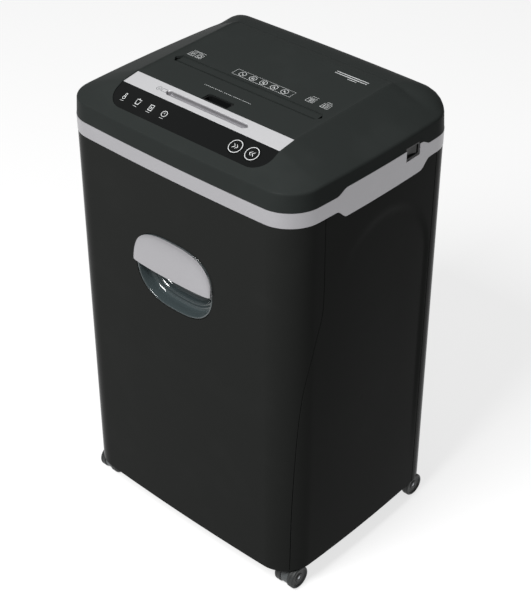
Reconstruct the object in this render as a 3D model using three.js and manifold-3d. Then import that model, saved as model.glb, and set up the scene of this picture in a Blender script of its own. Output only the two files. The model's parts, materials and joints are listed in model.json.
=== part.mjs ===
// Free-standing paper shredder with a pull-out bin, twin-wheel casters, a cutter unit and a sloped head.
// Millimetres, +Z up. The front faces -Y and the right side faces +X.
// The origin is on the floor, under the middle of the cabinet.
import * as THREE from 'three';
import { mergeVertices } from 'three/addons/utils/BufferGeometryUtils.js';
import Module from 'manifold-3d';

const wasm = await Module();
wasm.setup();

// ---------------------------------------------------------------- driving dimensions

// Cabinet
const cabinetWidth = 380;
const cabinetDepth = 304;
const cornerRadius = 41;
const sideBow = 5;
const frontBow = 4.5;
const cabinetHeight = 538.5;
const wall = 3;

// Trim band and cover
const bandHeight = 20;
const bandProud = 0.4;
const gripDrop = 12;
const gripRise = 7;
const gripHalfLength = 69;
const gripCentre = 7;
const gripRun = 18;
const coverWallHeight = 24;
const coverWall = 3.5;
const coverLip = 1.5;
const edgeRound = 3;
const deckMargin = 9.5;
const deckRearRun = 48;
const deckRise = 32.2;
const deckSlope = 0.034;
const deckFrontRadius = 25;
const deckRearRadius = 8;
const stripRearRun = 72.3;
const stripDepth = 25.3;
const stripSlope = 0.167;
const panelDepth = 32.2;
const panelSlope = 0.5;
const plateThickness = 1.5;

// Clearances
const fitGap = 0.3;
const looseGap = 0.5;
const doorGap = 0.8;

// Feed slots
const paperSlitLength = 229;
const paperSlitWidth = 6;
const paperSlitY = -28;
const guideDepth = 10.5;
const guideDrop = 1;
const slotEndLength = 6;
const throatWall = 3.5;
const throatFlange = 5;
const flangeThickness = 3;
const paperThroatHeight = 64;
const discSlitLength = 125;
const discSlitWidth = 5.5;
const discThroatHeight = 36;
const recessLength = 41;
const recessWidth = 15;
const recessDepth = 9;

// Control panel pieces
const buttonRadius = 10.4;
const buttonXs = [74.8, 100.4];
const buttonProud = 0.6;
const lightXs = [-109, -86.5, -64, -41.5];
const controlLine = 17.5;
const lightRadius = 2.5;
const boardDepth = 16;
const boardThickness = 1.6;

// Power switch
const switchY = 59.5;
const switchLength = 27;
const switchHeight = 18;
const switchLift = 1.5;
const switchDepth = 22;
const bezelWall = 2.5;
const rockerTilt = 8;

// Door, handle and bin
const handleHalfWidth = 67;
const handleFall = 137.5;
const ventCount = 7;
const ventPitch = 8;
const ventHalfLength = 52;
const ventFall = 49.5;
const inletX = 118;
const inletRise = 57;
const inletDepth = 22;
const inletWall = 3;
const handleRise = 49;
const handleDrop = 54;
const handleFullness = 2.7;
const shieldBulge = 7.5;
const shieldWall = 3;
const scoopDepth = 26;
const scoopWall = 2;
const scoopGap = 3.8;
const notchMargin = 13;
const binSideGap = 32;
const binRearGap = 41;
const binLift = 4;
const binHeadroom = 24;
const binRadius = 22;
const binWall = 2.5;

// Base, head frame and casters
const baseThickness = 6;
const casterInset = 18;
const stemInset = 39;
const trail = 11.5;
const wheelRadius = 16.5;
const wheelHeadroom = 2;
const wheelWidth = 10;
const hoodWidth = 10.8;
const axleRadius = 2.5;
const plateDrop = 0.2;
const stemRadius = 5;
const stemLength = 20;
const hoodPlateRadius = 10;
const seatDepth = 2;
const bossWall = 2.5;
const frameFall = 97.5;
const frameThickness = 5;
const frameSetback = 34;

// Cutting unit and drive
const plateWall = 4;
const plateMargin = 26;
const plateRise = 44;
const tieRise = 34;
const cutterTeeth = 17;
const cutterFall = 28.5;
const spanMargin = 3;
const discRadius = 20;
const hubRadius = 13.5;
const discPitch = 20;
const shaftEnd = 11;
const sideClearance = 0.6;
const journalRadius = 8;
const bushWall = 3;
const gearModule = 2;
const gearWidth = 8;
const gearOffsets = [3, 14, 24.5];
const idlerRadius = 6;
const motorShaftRadius = 5;
const smallTeeth = 12;
const largeTeeth = 36;
const idlerDrop = 19.2;
const motorRise = 21.3;
const motorRadius = 30;
const motorLength = 108;
const shaftReach = 30;
const tieRadius = 4;

// Mesh resolution
const cornerSteps = 6;
const frontStops = [0.25, 0.5, 0.75];
const fineSides = 16;
const holeSides = 12;

// ---------------------------------------------------------------- places worked out from them

const floorGap = 2 * wheelRadius + wheelHeadroom;
const cabinetTop = floorGap + cabinetHeight;
const cabinetFront = -cabinetDepth / 2;
const deckHalfWidth = paperSlitLength / 2 + slotEndLength + deckMargin;
const deckRear = cabinetDepth / 2 - deckRearRun;
const stripRear = cabinetFront + stripRearRun;
const rearSeamY = cabinetDepth / 2 - cornerRadius;
const handleLine = cabinetTop - handleFall;
const casterX = cabinetWidth / 2 - casterInset;
const stemY = cabinetDepth / 2 - stemInset;
const frameHeight = cabinetTop - frameFall;
const binTop = frameHeight - binHeadroom;
const binFloor = floorGap + 1 + baseThickness + binLift;
const binRear = cabinetDepth / 2 - wall - binRearGap;
const binHalfWidth = cabinetWidth / 2 - wall - binSideGap;
const bandTop = cabinetTop + bandHeight;
const coverEdge = bandTop + coverWallHeight;
const deckTop = coverEdge + deckRise;
const stripFront = stripRear - stripDepth;
const panelFront = stripFront - panelDepth;
const cutterSpan = paperSlitLength + 2 * (throatWall + spanMargin);
const discCount = Math.floor((cutterSpan / 2 - shaftEnd) / (discPitch / 2));
const gearPlanes = gearOffsets.map((offset) => cutterSpan / 2 + plateWall + offset);
const cutterSpacing = gearModule * cutterTeeth;
const cutterHeight = cabinetTop - cutterFall;
const cutterYs = [paperSlitY - cutterSpacing / 2, paperSlitY + cutterSpacing / 2];
const gearReach = gearModule * (smallTeeth + largeTeeth) / 2;
const idler = { y: cutterYs[1] + Math.sqrt(gearReach ** 2 - idlerDrop ** 2), z: cutterHeight - idlerDrop };
const motorAxis = { y: idler.y + Math.sqrt(gearReach ** 2 - motorRise ** 2), z: idler.z + motorRise };

/** Height of the deck, the strip or the panel at a place along Y. */
function topHeight(y) {
  const stripZ = deckTop - deckSlope * (deckRear - stripRear);
  if (y >= stripRear) return deckTop - deckSlope * (deckRear - y);
  const panelZ = stripZ - stripSlope * stripDepth;
  if (y >= stripFront) return stripZ - stripSlope * (stripRear - y);
  return panelZ - panelSlope * (stripFront - y);
}

// ---------------------------------------------------------------- solids

/** A manifold solid from a closed three.js geometry, turned to face out. */
function solid(geometry) {
  const plain = new THREE.BufferGeometry();
  plain.setAttribute('position', geometry.getAttribute('position'));
  if (geometry.index) plain.setIndex(geometry.index);
  const merged = mergeVertices(plain, 1e-4);
  const points = merged.getAttribute('position').array;
  const corners = merged.index.array;
  const faces = [];
  let volume = 0;
  for (let i = 0; i < corners.length; i += 3) {
    const [a, b, c] = [corners[i], corners[i + 1], corners[i + 2]];
    if (a === b || b === c || a === c) continue;
    faces.push([a, b, c]);
    const [p, q, r] = [a, b, c].map((k) => new THREE.Vector3().fromArray(points, 3 * k));
    volume += p.dot(q.cross(r));
  }
  const turned = volume < 0 ? faces.map(([a, b, c]) => [a, c, b]) : faces;
  return new wasm.Manifold(new wasm.Mesh({
    numProp: 3,
    vertProperties: Float32Array.from(points),
    triVerts: Uint32Array.from(turned.flat()),
  }));
}

/** The three.js geometry of a manifold solid. */
function geometryOf(body) {
  const mesh = body.getMesh();
  const geometry = new THREE.BufferGeometry();
  geometry.setAttribute('position', new THREE.BufferAttribute(Float32Array.from(mesh.vertProperties), 3));
  geometry.setIndex(Array.from(mesh.triVerts));
  geometry.computeVertexNormals();
  return geometry;
}

const join = (...bodies) => bodies.reduce((whole, body) => whole.add(body));
const cut = (whole, ...bodies) => bodies.reduce((rest, body) => rest.subtract(body), whole);
const meet = (a, b) => a.intersect(b);

/** A box between two corners. */
function box(low, high) {
  const size = high.map((v, i) => v - low[i]);
  const geometry = new THREE.BoxGeometry(...size);
  geometry.translate(...high.map((v, i) => (v + low[i]) / 2));
  return solid(geometry);
}

/** A flat outline, with optional holes, extruded along its own normal. */
function extrude(points, depth, holes = []) {
  const shape = new THREE.Shape(points.map(([x, y]) => new THREE.Vector2(x, y)));
  shape.holes = holes.map((hole) => new THREE.Path(hole.map(([x, y]) => new THREE.Vector2(x, y))));
  return new THREE.ExtrudeGeometry(shape, { depth, bevelEnabled: false });
}

/** An XY outline extruded upwards between two heights. */
function upright(points, low, high, holes) {
  const geometry = extrude(points, high - low, holes);
  geometry.translate(0, 0, low);
  return solid(geometry);
}

/** A YZ outline extruded along X between two places. */
function across(points, low, high, holes) {
  const geometry = extrude(points, high - low, holes);
  const turn = new THREE.Matrix4().makeBasis(
    new THREE.Vector3(0, 1, 0), new THREE.Vector3(0, 0, 1), new THREE.Vector3(1, 0, 0));
  geometry.applyMatrix4(turn);
  geometry.translate(low, 0, 0);
  return solid(geometry);
}

/** An XZ outline extruded along Y between two places. */
function through(points, low, high, holes) {
  const geometry = extrude(points, high - low, holes);
  const turn = new THREE.Matrix4().makeBasis(
    new THREE.Vector3(1, 0, 0), new THREE.Vector3(0, 0, 1), new THREE.Vector3(0, -1, 0));
  geometry.applyMatrix4(turn);
  geometry.translate(0, high, 0);
  return solid(geometry);
}

/** A profile of [radius, place] turned about an axis along X. */
function turnedX(profile, segments, y, z) {
  const geometry = new THREE.LatheGeometry(profile.map(([r, x]) => new THREE.Vector2(r, x)), segments);
  geometry.rotateZ(-Math.PI / 2);
  geometry.translate(0, y, z);
  return solid(geometry);
}

/** A round rod along X between two places. */
function rodX(radius, low, high, y, z, segments = holeSides) {
  return turnedX([[0, low], [radius, low], [radius, high], [0, high]], segments, y, z);
}

/** A round rod along Z between two heights. */
function rodZ(radius, low, high, x, y, segments = holeSides) {
  const geometry = new THREE.CylinderGeometry(radius, radius, high - low, segments);
  geometry.rotateX(Math.PI / 2);
  geometry.translate(x, y, (low + high) / 2);
  return solid(geometry);
}

/** Moves geometry from a sloping face's own axes: x across, y up the slope, z out of the face. */
function onSlope(geometry, y, slope) {
  const angle = Math.atan(slope);
  const rise = new THREE.Vector3(0, Math.cos(angle), Math.sin(angle));
  const out = new THREE.Vector3(0, -Math.sin(angle), Math.cos(angle));
  const place = new THREE.Matrix4().makeBasis(new THREE.Vector3(1, 0, 0), rise, out);
  place.setPosition(0, y, topHeight(y));
  return solid(geometry.applyMatrix4(place));
}

/** An outline on a sloping face, extruded between two depths along the face's normal. */
function slopePlate(points, low, high, y, slope, holes) {
  const geometry = extrude(points, high - low, holes);
  geometry.translate(0, 0, low);
  return onSlope(geometry, y, slope);
}

/** A closed body between rings of points, with flat or folded ends. */
function loft(rings, lowEnd, highEnd) {
  const count = rings[0].length;
  const points = rings.flat();
  const faces = [];
  for (let ring = 0; ring + 1 < rings.length; ring += 1) {
    for (let i = 0; i < count; i += 1) {
      const next = (i + 1) % count;
      const [a, b] = [ring * count + i, ring * count + next];
      faces.push([a, b, b + count], [a, b + count, a + count]);
    }
  }
  for (const [a, b, c] of lowEnd) faces.push([a, c, b]);
  const last = (rings.length - 1) * count;
  for (const [a, b, c] of highEnd) faces.push([last + a, last + b, last + c]);
  const geometry = new THREE.BufferGeometry();
  geometry.setAttribute('position', new THREE.Float32BufferAttribute(points.flat(), 3));
  geometry.setIndex(faces.flat());
  return solid(geometry);
}

/** Triangles, turned counter-clockwise, of the polygon that some of a ring's points make on two axes. */
function fill(ring, indices, axes = [0, 1]) {
  const flat = indices.map((i) => new THREE.Vector2(ring[i][axes[0]], ring[i][axes[1]]));
  return THREE.ShapeUtils.triangulateShape(flat, []).map((face) => {
    const [a, b, c] = face.map((k) => flat[k]);
    const area = (b.x - a.x) * (c.y - a.y) - (c.x - a.x) * (b.y - a.y);
    const [i, j, k] = face.map((n) => indices[n]);
    return area > 0 ? [i, j, k] : [i, k, j];
  });
}

const allOf = (ring) => ring.map((_, i) => i);

// ---------------------------------------------------------------- outlines

/** A round hole's outline. */
const circle = (x, y, radius, sides = holeSides) => arc(x, y, radius, 0, 360, sides).slice(1);

/** Points on an arc, both ends included, angles in degrees. */
function arc(x, y, radius, from, to, steps = cornerSteps) {
  return Array.from({ length: steps + 1 }, (_, i) => {
    const angle = THREE.MathUtils.degToRad(from + (to - from) * i / steps);
    return [x + radius * Math.cos(angle), y + radius * Math.sin(angle)];
  });
}

const deckSideFront = panelFront + deckFrontRadius;
const deckSideRear = deckRear - deckRearRadius;
const sideStops = [stripFront, stripRear, -35, 10, 55]
  .map((y) => (y - deckSideFront) / (deckSideRear - deckSideFront));

/** A rounded rectangle, counter-clockwise from the front right corner. */
function loop(halfWidth, front, rear, frontRadius, rearRadius) {
  const mix = THREE.MathUtils.lerp;
  const [f, r] = [frontRadius, rearRadius];
  const side = (x, stops) => stops.map((t) => [x, mix(front + f, rear - r, t)]);
  return [
    ...arc(halfWidth - f, front + f, f, -90, 0),
    ...side(halfWidth, sideStops),
    ...arc(halfWidth - r, rear - r, r, 0, 90),
    ...frontStops.map((t) => [mix(halfWidth - r, r - halfWidth, t), rear]),
    ...arc(r - halfWidth, rear - r, r, 90, 180),
    ...side(-halfWidth, sideStops.toReversed()),
    ...arc(f - halfWidth, front + f, f, 180, 270),
    ...frontStops.map((t) => [mix(f - halfWidth, halfWidth - f, t), front]),
  ];
}

/** Bows the cabinet's straight sides gently outwards. */
function bowed([x, y]) {
  const across2 = (2 * x / cabinetWidth) ** 2;
  const along2 = (2 * y / cabinetDepth) ** 2;
  return [x * (1 + 2 * sideBow / cabinetWidth * (1 - along2)),
    y * (1 + 2 * frontBow / cabinetDepth * (1 - across2))];
}

/** The cabinet's outline, moved inwards by an inset. */
function cabinetLoop(inset) {
  const [x, y, r] = [cabinetWidth / 2 - inset, cabinetDepth / 2 - inset, cornerRadius - inset];
  return loop(x, -y, y, r, r).map(bowed);
}

/** The Y of the cabinet's front face at a place along X. */
const frontFace = (x) => bowed([x, -cabinetDepth / 2])[1];

/** A closed wall that follows the cabinet's outline. */
function wallRing(outer, inner, low, high) {
  return upright(cabinetLoop(outer), low, high, [cabinetLoop(inner)]);
}

/** A long rectangle with pointed ends. */
function pointedSlot(halfLength, low, high, point) {
  const middle = (low + high) / 2;
  const x = halfLength - point;
  return [[-x, low], [x, low], [halfLength, middle], [x, high], [-x, high], [-halfLength, middle]];
}

/** The share, from 0 to 1, of the side grip's extra height at a place along Y. */
function gripShare(y) {
  const t = THREE.MathUtils.clamp((gripHalfLength + gripRun - Math.abs(y - gripCentre)) / gripRun, 0, 1);
  return t * t * (3 - 2 * t);
}

const gripSteps = [0, 5, 9, 13.5, gripRun].map((step) => gripHalfLength + gripRun - step);
const gripYs = [...gripSteps.map((step) => gripCentre - step),
  ...gripSteps.toReversed().map((step) => gripCentre + step)];
const farY = cabinetDepth;
const farX = cabinetWidth;

/** The line of the band's lower edge, as [y, z], moved by a gap. */
const bandLow = (shift) => [-farY, ...gripYs, farY]
  .map((y) => [y, cabinetTop - gripDrop * gripShare(y) + shift]);

/** The line of the band's upper edge, as [y, z], moved by a gap. */
const bandHigh = (shift) => [-farY, ...gripYs, farY]
  .map((y) => [y, bandTop + gripRise * gripShare(y) + shift]);

/** Everything under the band, or under its upper edge, as a solid across the cabinet. */
function under(line) {
  return across([[-farY, -farY], [farY, -farY], ...line.toReversed()], -farX, farX);
}

// The door's side edge, as distances behind the front and below the cabinet's top.
const seamPlaces = [[54, -40], [54.5, 105], [52.5, 135], [39, 181], [24.5, 250], [16.5, 395]];
const seam = new THREE.SplineCurve([...seamPlaces, [14.5, cabinetHeight + 10]]
  .map(([back, down]) => new THREE.Vector2(cabinetFront + back, cabinetTop - down)))
  .getSpacedPoints(22).map((p) => [p.x, p.y]);

/** Everything in front of the door's side edge, moved by a gap. */
function frontOfSeam(shift) {
  const line = seam.map(([y, z]) => [y + shift, z]);
  return across([[-farY, line[0][1]], [-farY, line.at(-1)[1]], ...line.toReversed()], -farX, farX);
}

// ---------------------------------------------------------------- cabinet

/** The wall between the floor gap and the band, before it is parted into panels. */
function cabinetWall(topGap) {
  return meet(wallRing(0, wall, floorGap, bandTop), under(bandLow(-topGap)));
}

function sidePanel(side) {
  const half = [[side * 60, -farY, 0], [side * farX, rearSeamY, 2 * cabinetTop]];
  const low = half[0].map((v, i) => Math.min(v, half[1][i]));
  const high = half[0].map((v, i) => Math.max(v, half[1][i]));
  return cut(meet(cabinetWall(fitGap), box(low, high)), frontOfSeam(doorGap / 2));
}

const inletPlace = { x: inletX, z: floorGap + inletRise, halfWidth: 15, halfHeight: 12 };

function rearPanel() {
  const ahead = box([-farX, -farY, 0], [farX, rearSeamY + looseGap, 2 * cabinetTop]);
  const wallPart = cut(cabinetWall(fitGap), ahead);
  const vents = Array.from({ length: ventCount }, (_, i) => {
    const z = cabinetTop - ventFall - ventPitch * i;
    const half = ventPitch / 4;
    return box([-ventHalfLength, rearSeamY + 20, z - half], [ventHalfLength, farY, z + half]);
  });
  const p = inletPlace;
  const inlet = box([p.x - p.halfWidth, rearSeamY, p.z - p.halfHeight],
    [p.x + p.halfWidth, farY, p.z + p.halfHeight]);
  return cut(wallPart, ...vents, inlet);
}

function mainsInlet() {
  const p = inletPlace;
  const rear = -frontFace(p.x + p.halfWidth) - looseGap;
  const face = (w, h, low, high) => box([p.x - w, low, p.z - h], [p.x + w, high, p.z + h]);
  const floor = rear - inletDepth + 2 * inletWall;
  const body = face(p.halfWidth - fitGap, p.halfHeight - fitGap, rear - inletDepth, rear);
  const socket = face(p.halfWidth - inletWall, p.halfHeight - inletWall, floor, rear + 1);
  const pins = [-7, 0, 7].map((x) => (
    box([p.x + x - 1, floor - 1, p.z - 3], [p.x + x + 1, rear - 4, p.z + 3])));
  return join(cut(body, socket), ...pins);
}

function basePlate() {
  const plate = upright(cabinetLoop(wall + looseGap), floorGap + 1, floorGap + 1 + baseThickness);
  const top = floorGap + stemLength + 3;
  const places = [[-1, -1], [1, -1], [-1, 1], [1, 1]].map(([x, y]) => [x * casterX, y * stemY]);
  const bosses = places.map(([x, y]) => (
    rodZ(hoodPlateRadius + bossWall, floorGap + 2, top, x, y)));
  const bores = places.map(([x, y]) => rodZ(stemRadius + fitGap, 0, top - 2, x, y));
  const seats = places.map(([x, y]) => rodZ(hoodPlateRadius + fitGap, 0, floorGap + 1 + seatDepth, x, y));
  return cut(join(plate, ...bosses), ...bores, ...seats);
}

function headFrame() {
  const plate = upright(cabinetLoop(wall + looseGap), frameHeight, frameHeight + frameThickness);
  const chuteX = paperSlitLength / 2 - 2.5;
  const reach = discRadius + 4;
  const chute = box([-chuteX, cutterYs[0] - reach, 0], [chuteX, cutterYs[1] + reach, 2 * cabinetTop]);
  const door = box([-farX, -farY, 0], [farX, cabinetFront + frameSetback, 2 * cabinetTop]);
  return cut(plate, chute, door);
}

function trimBand() {
  const ring = wallRing(-bandProud, wall - bandProud, cabinetTop - gripDrop - 1, bandTop + gripRise + 1);
  return cut(meet(ring, under(bandHigh(0))), under(bandLow(0)), switchNotch(0));
}

/** The notch for the power switch on the right side, grown by a gap. */
function switchNotch(grow) {
  const low = bandTop - switchHeight / 2 + switchLift - grow;
  const high = bandTop + switchHeight / 2 + switchLift + grow;
  const half = switchLength / 2 + grow;
  return box([cabinetWidth / 2 - switchDepth, switchY - half, low], [farX, switchY + half, high]);
}

// ---------------------------------------------------------------- cover

/** The cover's outer body, or with an inset its hollow. */
function coverBody(inset) {
  const at = (shift, z) => cabinetLoop(shift - coverLip + inset).map(([x, y]) => [x, y, z - inset]);
  const floor = cabinetLoop(inset - coverLip).map(([x, y]) => [x, y, cabinetTop - inset]);
  const rings = [floor, at(2.9, coverEdge - edgeRound), at(3.8, coverEdge - edgeRound / 3),
    at(edgeRound + 2.9, coverEdge)];
  const trim = inset / 2;
  const deck = loop(deckHalfWidth - trim, panelFront + trim, deckRear - trim, deckFrontRadius, deckRearRadius)
    .map(([x, y]) => [x, y, topHeight(y) - inset]);
  const edge = rings.at(-1);
  for (const t of [0.25, 0.5, 0.75]) {
    rings.push(deck.map((p, i) => {
      const q = edge[i];
      const roll = THREE.MathUtils.smoothstep(p[1], deckSideRear, deckRear);
      const turn = t * Math.PI / 2;
      const flatShare = THREE.MathUtils.lerp(t, 1 - Math.cos(turn), roll);
      const riseShare = THREE.MathUtils.lerp(t, Math.sin(turn), roll);
      return [q[0] + (p[0] - q[0]) * flatShare, q[1] + (p[1] - q[1]) * flatShare,
        q[2] + (p[2] - q[2]) * riseShare];
    }));
  }
  rings.push(deck);
  const corner = cornerSteps + 1;
  const side = sideStops.length;
  const rightStrip = corner;
  const leftStrip = 3 * corner + side + frontStops.length + side - 1;
  const span = (from, to) => Array.from({ length: to - from + 1 }, (_, i) => from + i);
  const front = [...span(leftStrip, deck.length - 1), ...span(0, rightStrip)];
  const strip = [rightStrip, rightStrip + 1, leftStrip - 1, leftStrip];
  const rear = span(rightStrip + 1, leftStrip - 1);
  const top = [front, strip, rear].flatMap((indices) => fill(deck, indices));
  return loft(rings, fill(rings[0], allOf(rings[0])), top);
}

const panelLength = panelDepth * Math.hypot(1, panelSlope);
const stripLength = stripDepth * Math.hypot(1, stripSlope);

/** The control panel's outline on its own slope, grown by a gap. */
function panelOutline(grow) {
  const half = deckHalfWidth - 1.5 + grow;
  const low = -panelLength + 1 - grow;
  const r = deckFrontRadius;
  return [...arc(half - r, low + r, r, -90, 0), [half, grow - 0.6], [-half, grow - 0.6],
    ...arc(r - half, low + r, r, 180, 270)];
}

/** The silver strip's outline on its own slope, grown by a gap. */
function stripOutline(grow) {
  const half = deckHalfWidth - 1.5 + grow;
  return [[-half, fitGap - grow], [half, fitGap - grow], [half, stripLength - fitGap + grow],
    [-half, stripLength - fitGap + grow]];
}

const discMiddle = stripLength / 2 + 0.5;
const discOutline = pointedSlot(discSlitLength / 2 + 3, discMiddle - 4, discMiddle + 4, 4);
const studSides = 8;
const controlHoles = (radius, xs, sides) => xs.map((x) => circle(x, -controlLine, radius, sides));
const paperFront = paperSlitY - paperSlitWidth / 2;
const paperRear = paperSlitY + paperSlitWidth / 2 + guideDepth;
const paperOutline = pointedSlot(paperSlitLength / 2 + slotEndLength, paperFront, paperRear, slotEndLength);
const recessFront = stripRear + 1.2;
const recessOutline = (grow) => {
  const [x, low, high] = [recessLength / 2 + grow, recessFront - grow, recessFront + recessWidth + grow];
  return [[-x, low], [x, low], [x, high - 3], [x - 3, high], [3 - x, high], [-x, high - 3]];
};

function topCover() {
  const shell = cut(coverBody(0), coverBody(coverWall), under(bandHigh(fitGap)), switchNotch(0));
  const sink = plateThickness + fitGap;
  const panelCut = slopePlate(panelOutline(fitGap), -sink, 10, stripFront, panelSlope);
  const stripCut = slopePlate(stripOutline(fitGap), -sink, 10, stripFront, stripSlope);
  const holes = controlHoles(buttonRadius + looseGap, buttonXs, fineSides)
    .concat(controlHoles(lightRadius + 2 * fitGap, lightXs, studSides))
    .map((hole) => slopePlate(hole, -12, 10, stripFront, panelSlope));
  const disc = slopePlate(discOutline, -12, 10, stripFront, stripSlope);
  const paper = upright(paperOutline, coverEdge, deckTop + 10);
  const recess = upright(recessOutline(fitGap), coverEdge, deckTop + 10);
  return cut(shell, panelCut, stripCut, ...holes, disc, paper, recess);
}

function controlPanel() {
  const holes = controlHoles(buttonRadius + looseGap, buttonXs, fineSides);
  return slopePlate(panelOutline(0), -plateThickness, 0, stripFront, panelSlope, holes);
}

function deckStrip() {
  return slopePlate(stripOutline(0), -plateThickness, 0, stripFront, stripSlope, [discOutline]);
}

/** A chute with a sloping guide at the back of its mouth, hung under the deck. */
function paperThroat() {
  const deckZ = topHeight(paperFront);
  const top = deckZ - coverWall - fitGap - deckSlope * throatFlange;
  const low = deckZ - paperThroatHeight;
  const half = paperSlitLength / 2;
  const [front, slitRear] = [paperFront, paperSlitY + paperSlitWidth / 2];
  const frontWall = [[front, low], [front, top], [front - throatFlange - throatWall, top],
    [front - throatFlange - throatWall, top - flangeThickness], [front - throatWall, top - flangeThickness],
    [front - throatWall, low]];
  const lip = paperRear - fitGap;
  const rearWall = [[slitRear, low], [slitRear + throatWall, low], [slitRear + throatWall, top - 8],
    [lip, top - flangeThickness], [lip + throatFlange, top - flangeThickness], [lip + throatFlange, top],
    [lip, top], [lip, deckZ - 1.2], [slitRear, deckZ - 1.2 - guideDrop]];
  const ends = [-1, 1].map((s) => {
    const [a, b] = [s * half, s * (half + throatWall)];
    return box([Math.min(a, b), front - throatWall, low],
      [Math.max(a, b), slitRear + throatWall, top]);
  });
  const flanges = [-1, 1].map((s) => {
    const [a, b] = [s * half, s * (half + slotEndLength + throatFlange)];
    return box([Math.min(a, b), front - throatFlange, top - flangeThickness],
      [Math.max(a, b), lip + throatFlange, top]);
  });
  const long = half + throatWall;
  return join(across(frontWall, -long, long), cut(across(rearWall, -long, long),
    box([half, slitRear - 1, top], [long + 1, lip + 1, deckZ + 1]),
    box([-long - 1, slitRear - 1, top], [-half, lip + 1, deckZ + 1])), ...ends, ...flanges);
}

const discY = stripFront + discMiddle / Math.hypot(1, stripSlope);

function discThroat() {
  const top = topHeight(discY - 9) - coverWall - fitGap - plateThickness / 2;
  const low = top - discThroatHeight;
  const sleeve = (x, y) => [[-x, discY - y], [x, discY - y], [x, discY + y], [-x, discY + y]];
  const [x, y] = [discSlitLength / 2, discSlitWidth / 2];
  const chute = upright(sleeve(x + throatWall, y + 2.5), low, top, [sleeve(x, y)]);
  const flange = upright(sleeve(x + throatWall + 3, y + 4.5), top - 2, top, [sleeve(x, y)]);
  return join(chute, flange);
}

/** A small finger pocket behind the strip. */
function fingerRecess() {
  const low = topHeight(recessFront) - recessDepth - 2;
  const cup = upright(recessOutline(0), low, topHeight(recessFront) - 0.6);
  const pocket = upright(recessOutline(-2), low + 2, deckTop + 10);
  return cut(cup, pocket);
}

function pushButton(x) {
  const [r, low] = [buttonRadius, -boardDepth + 3.4];
  const profile = [[0, low], [3, low], [3, -6], [r, -6], [r, buttonProud - 0.7], [r - 0.7, buttonProud],
    [0, buttonProud - 0.3]];
  const geometry = new THREE.LatheGeometry(profile.map(([a, b]) => new THREE.Vector2(a, b)), fineSides);
  geometry.rotateX(Math.PI / 2);
  geometry.translate(x, -controlLine, 0);
  return onSlope(geometry, stripFront, panelSlope);
}

/** A clear bar with four studs that carry light up to the panel. */
function lightGuide() {
  const [first, last] = [lightXs[0] - 5, lightXs.at(-1) + 5];
  const [low, high] = [-controlLine - 3, 3 - controlLine];
  const bar = [[first, low], [last, low], [last, high], [first, high]];
  const studs = controlHoles(lightRadius, lightXs, studSides).map((hole) => (
    slopePlate(hole, -11, -plateThickness - 2 * fitGap, stripFront, panelSlope)));
  return join(slopePlate(bar, -13, -9, stripFront, panelSlope), ...studs);
}

function circuitBoard() {
  const [x, low, high] = [deckHalfWidth - 12, -panelLength + 5, -3];
  const outline = [[-x, low], [x, low], [x, high], [-x, high]];
  const board = slopePlate(outline, -boardDepth - boardThickness, -boardDepth, stripFront, panelSlope);
  const switches = buttonXs.map((bx) => {
    const corners = [[-3, -3], [3, -3], [3, 3], [-3, 3]].map(([a, b]) => [bx + a, b - controlLine]);
    return slopePlate(corners, -boardDepth - 0.5, -boardDepth + 1.6, stripFront, panelSlope);
  });
  return join(board, ...switches);
}

// ---------------------------------------------------------------- power switch

const rockerX = cabinetWidth / 2 - 4;
const switchZ = bandTop + switchLift;

function switchBezel() {
  const [y, z] = [switchLength / 2 - fitGap, switchHeight / 2 - fitGap];
  const face = bowed([cabinetWidth / 2, switchY + y])[0] - 0.5;
  const low = [cabinetWidth / 2 - switchDepth + fitGap, switchY - y, switchZ - z];
  const body = box(low, [face, switchY + y, switchZ + z]);
  const well = box([rockerX - 9, switchY - y + bezelWall, switchZ - z + bezelWall],
    [farX, switchY + y - bezelWall, switchZ + z - bezelWall]);
  return cut(body, well);
}

/** A shallow vee that rocks about an upright pin, resting with its front half pressed. */
function switchRocker() {
  const half = switchLength / 2 - fitGap - bezelWall - 1;
  const profile = [[-4, -half + 1], [5, -half], [4, 0], [5, half], [-4, half - 1]];
  const z = switchHeight / 2 - fitGap - bezelWall - looseGap;
  const geometry = extrude(profile, 2 * z);
  geometry.translate(0, 0, -z);
  geometry.rotateZ(THREE.MathUtils.degToRad(-rockerTilt));
  geometry.translate(rockerX, switchY, switchZ);
  return solid(geometry);
}

// ---------------------------------------------------------------- door, handle and bin

/** The handle opening's outline as [x, z], moved inwards by an inset. */
function handleOutline(inset, steps = 12) {
  const power = (v, n) => Math.sign(v) * Math.abs(v) ** (2 / n);
  return Array.from({ length: 2 * steps }, (_, i) => {
    const angle = Math.PI * i / steps;
    const low = i > steps;
    const half = handleHalfWidth - inset - (low ? 4 * Math.abs(Math.sin(angle)) : 0);
    const height = (low ? handleDrop : handleRise) - inset;
    const n = handleFullness;
    return [half * power(Math.cos(angle), n), handleLine + height * power(Math.sin(angle), n)];
  });
}

function frontDoor() {
  const shell = meet(cabinetWall(doorGap), frontOfSeam(-doorGap / 2));
  const opening = through(handleOutline(0), -farY, 0);
  return cut(shell, opening);
}

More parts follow.
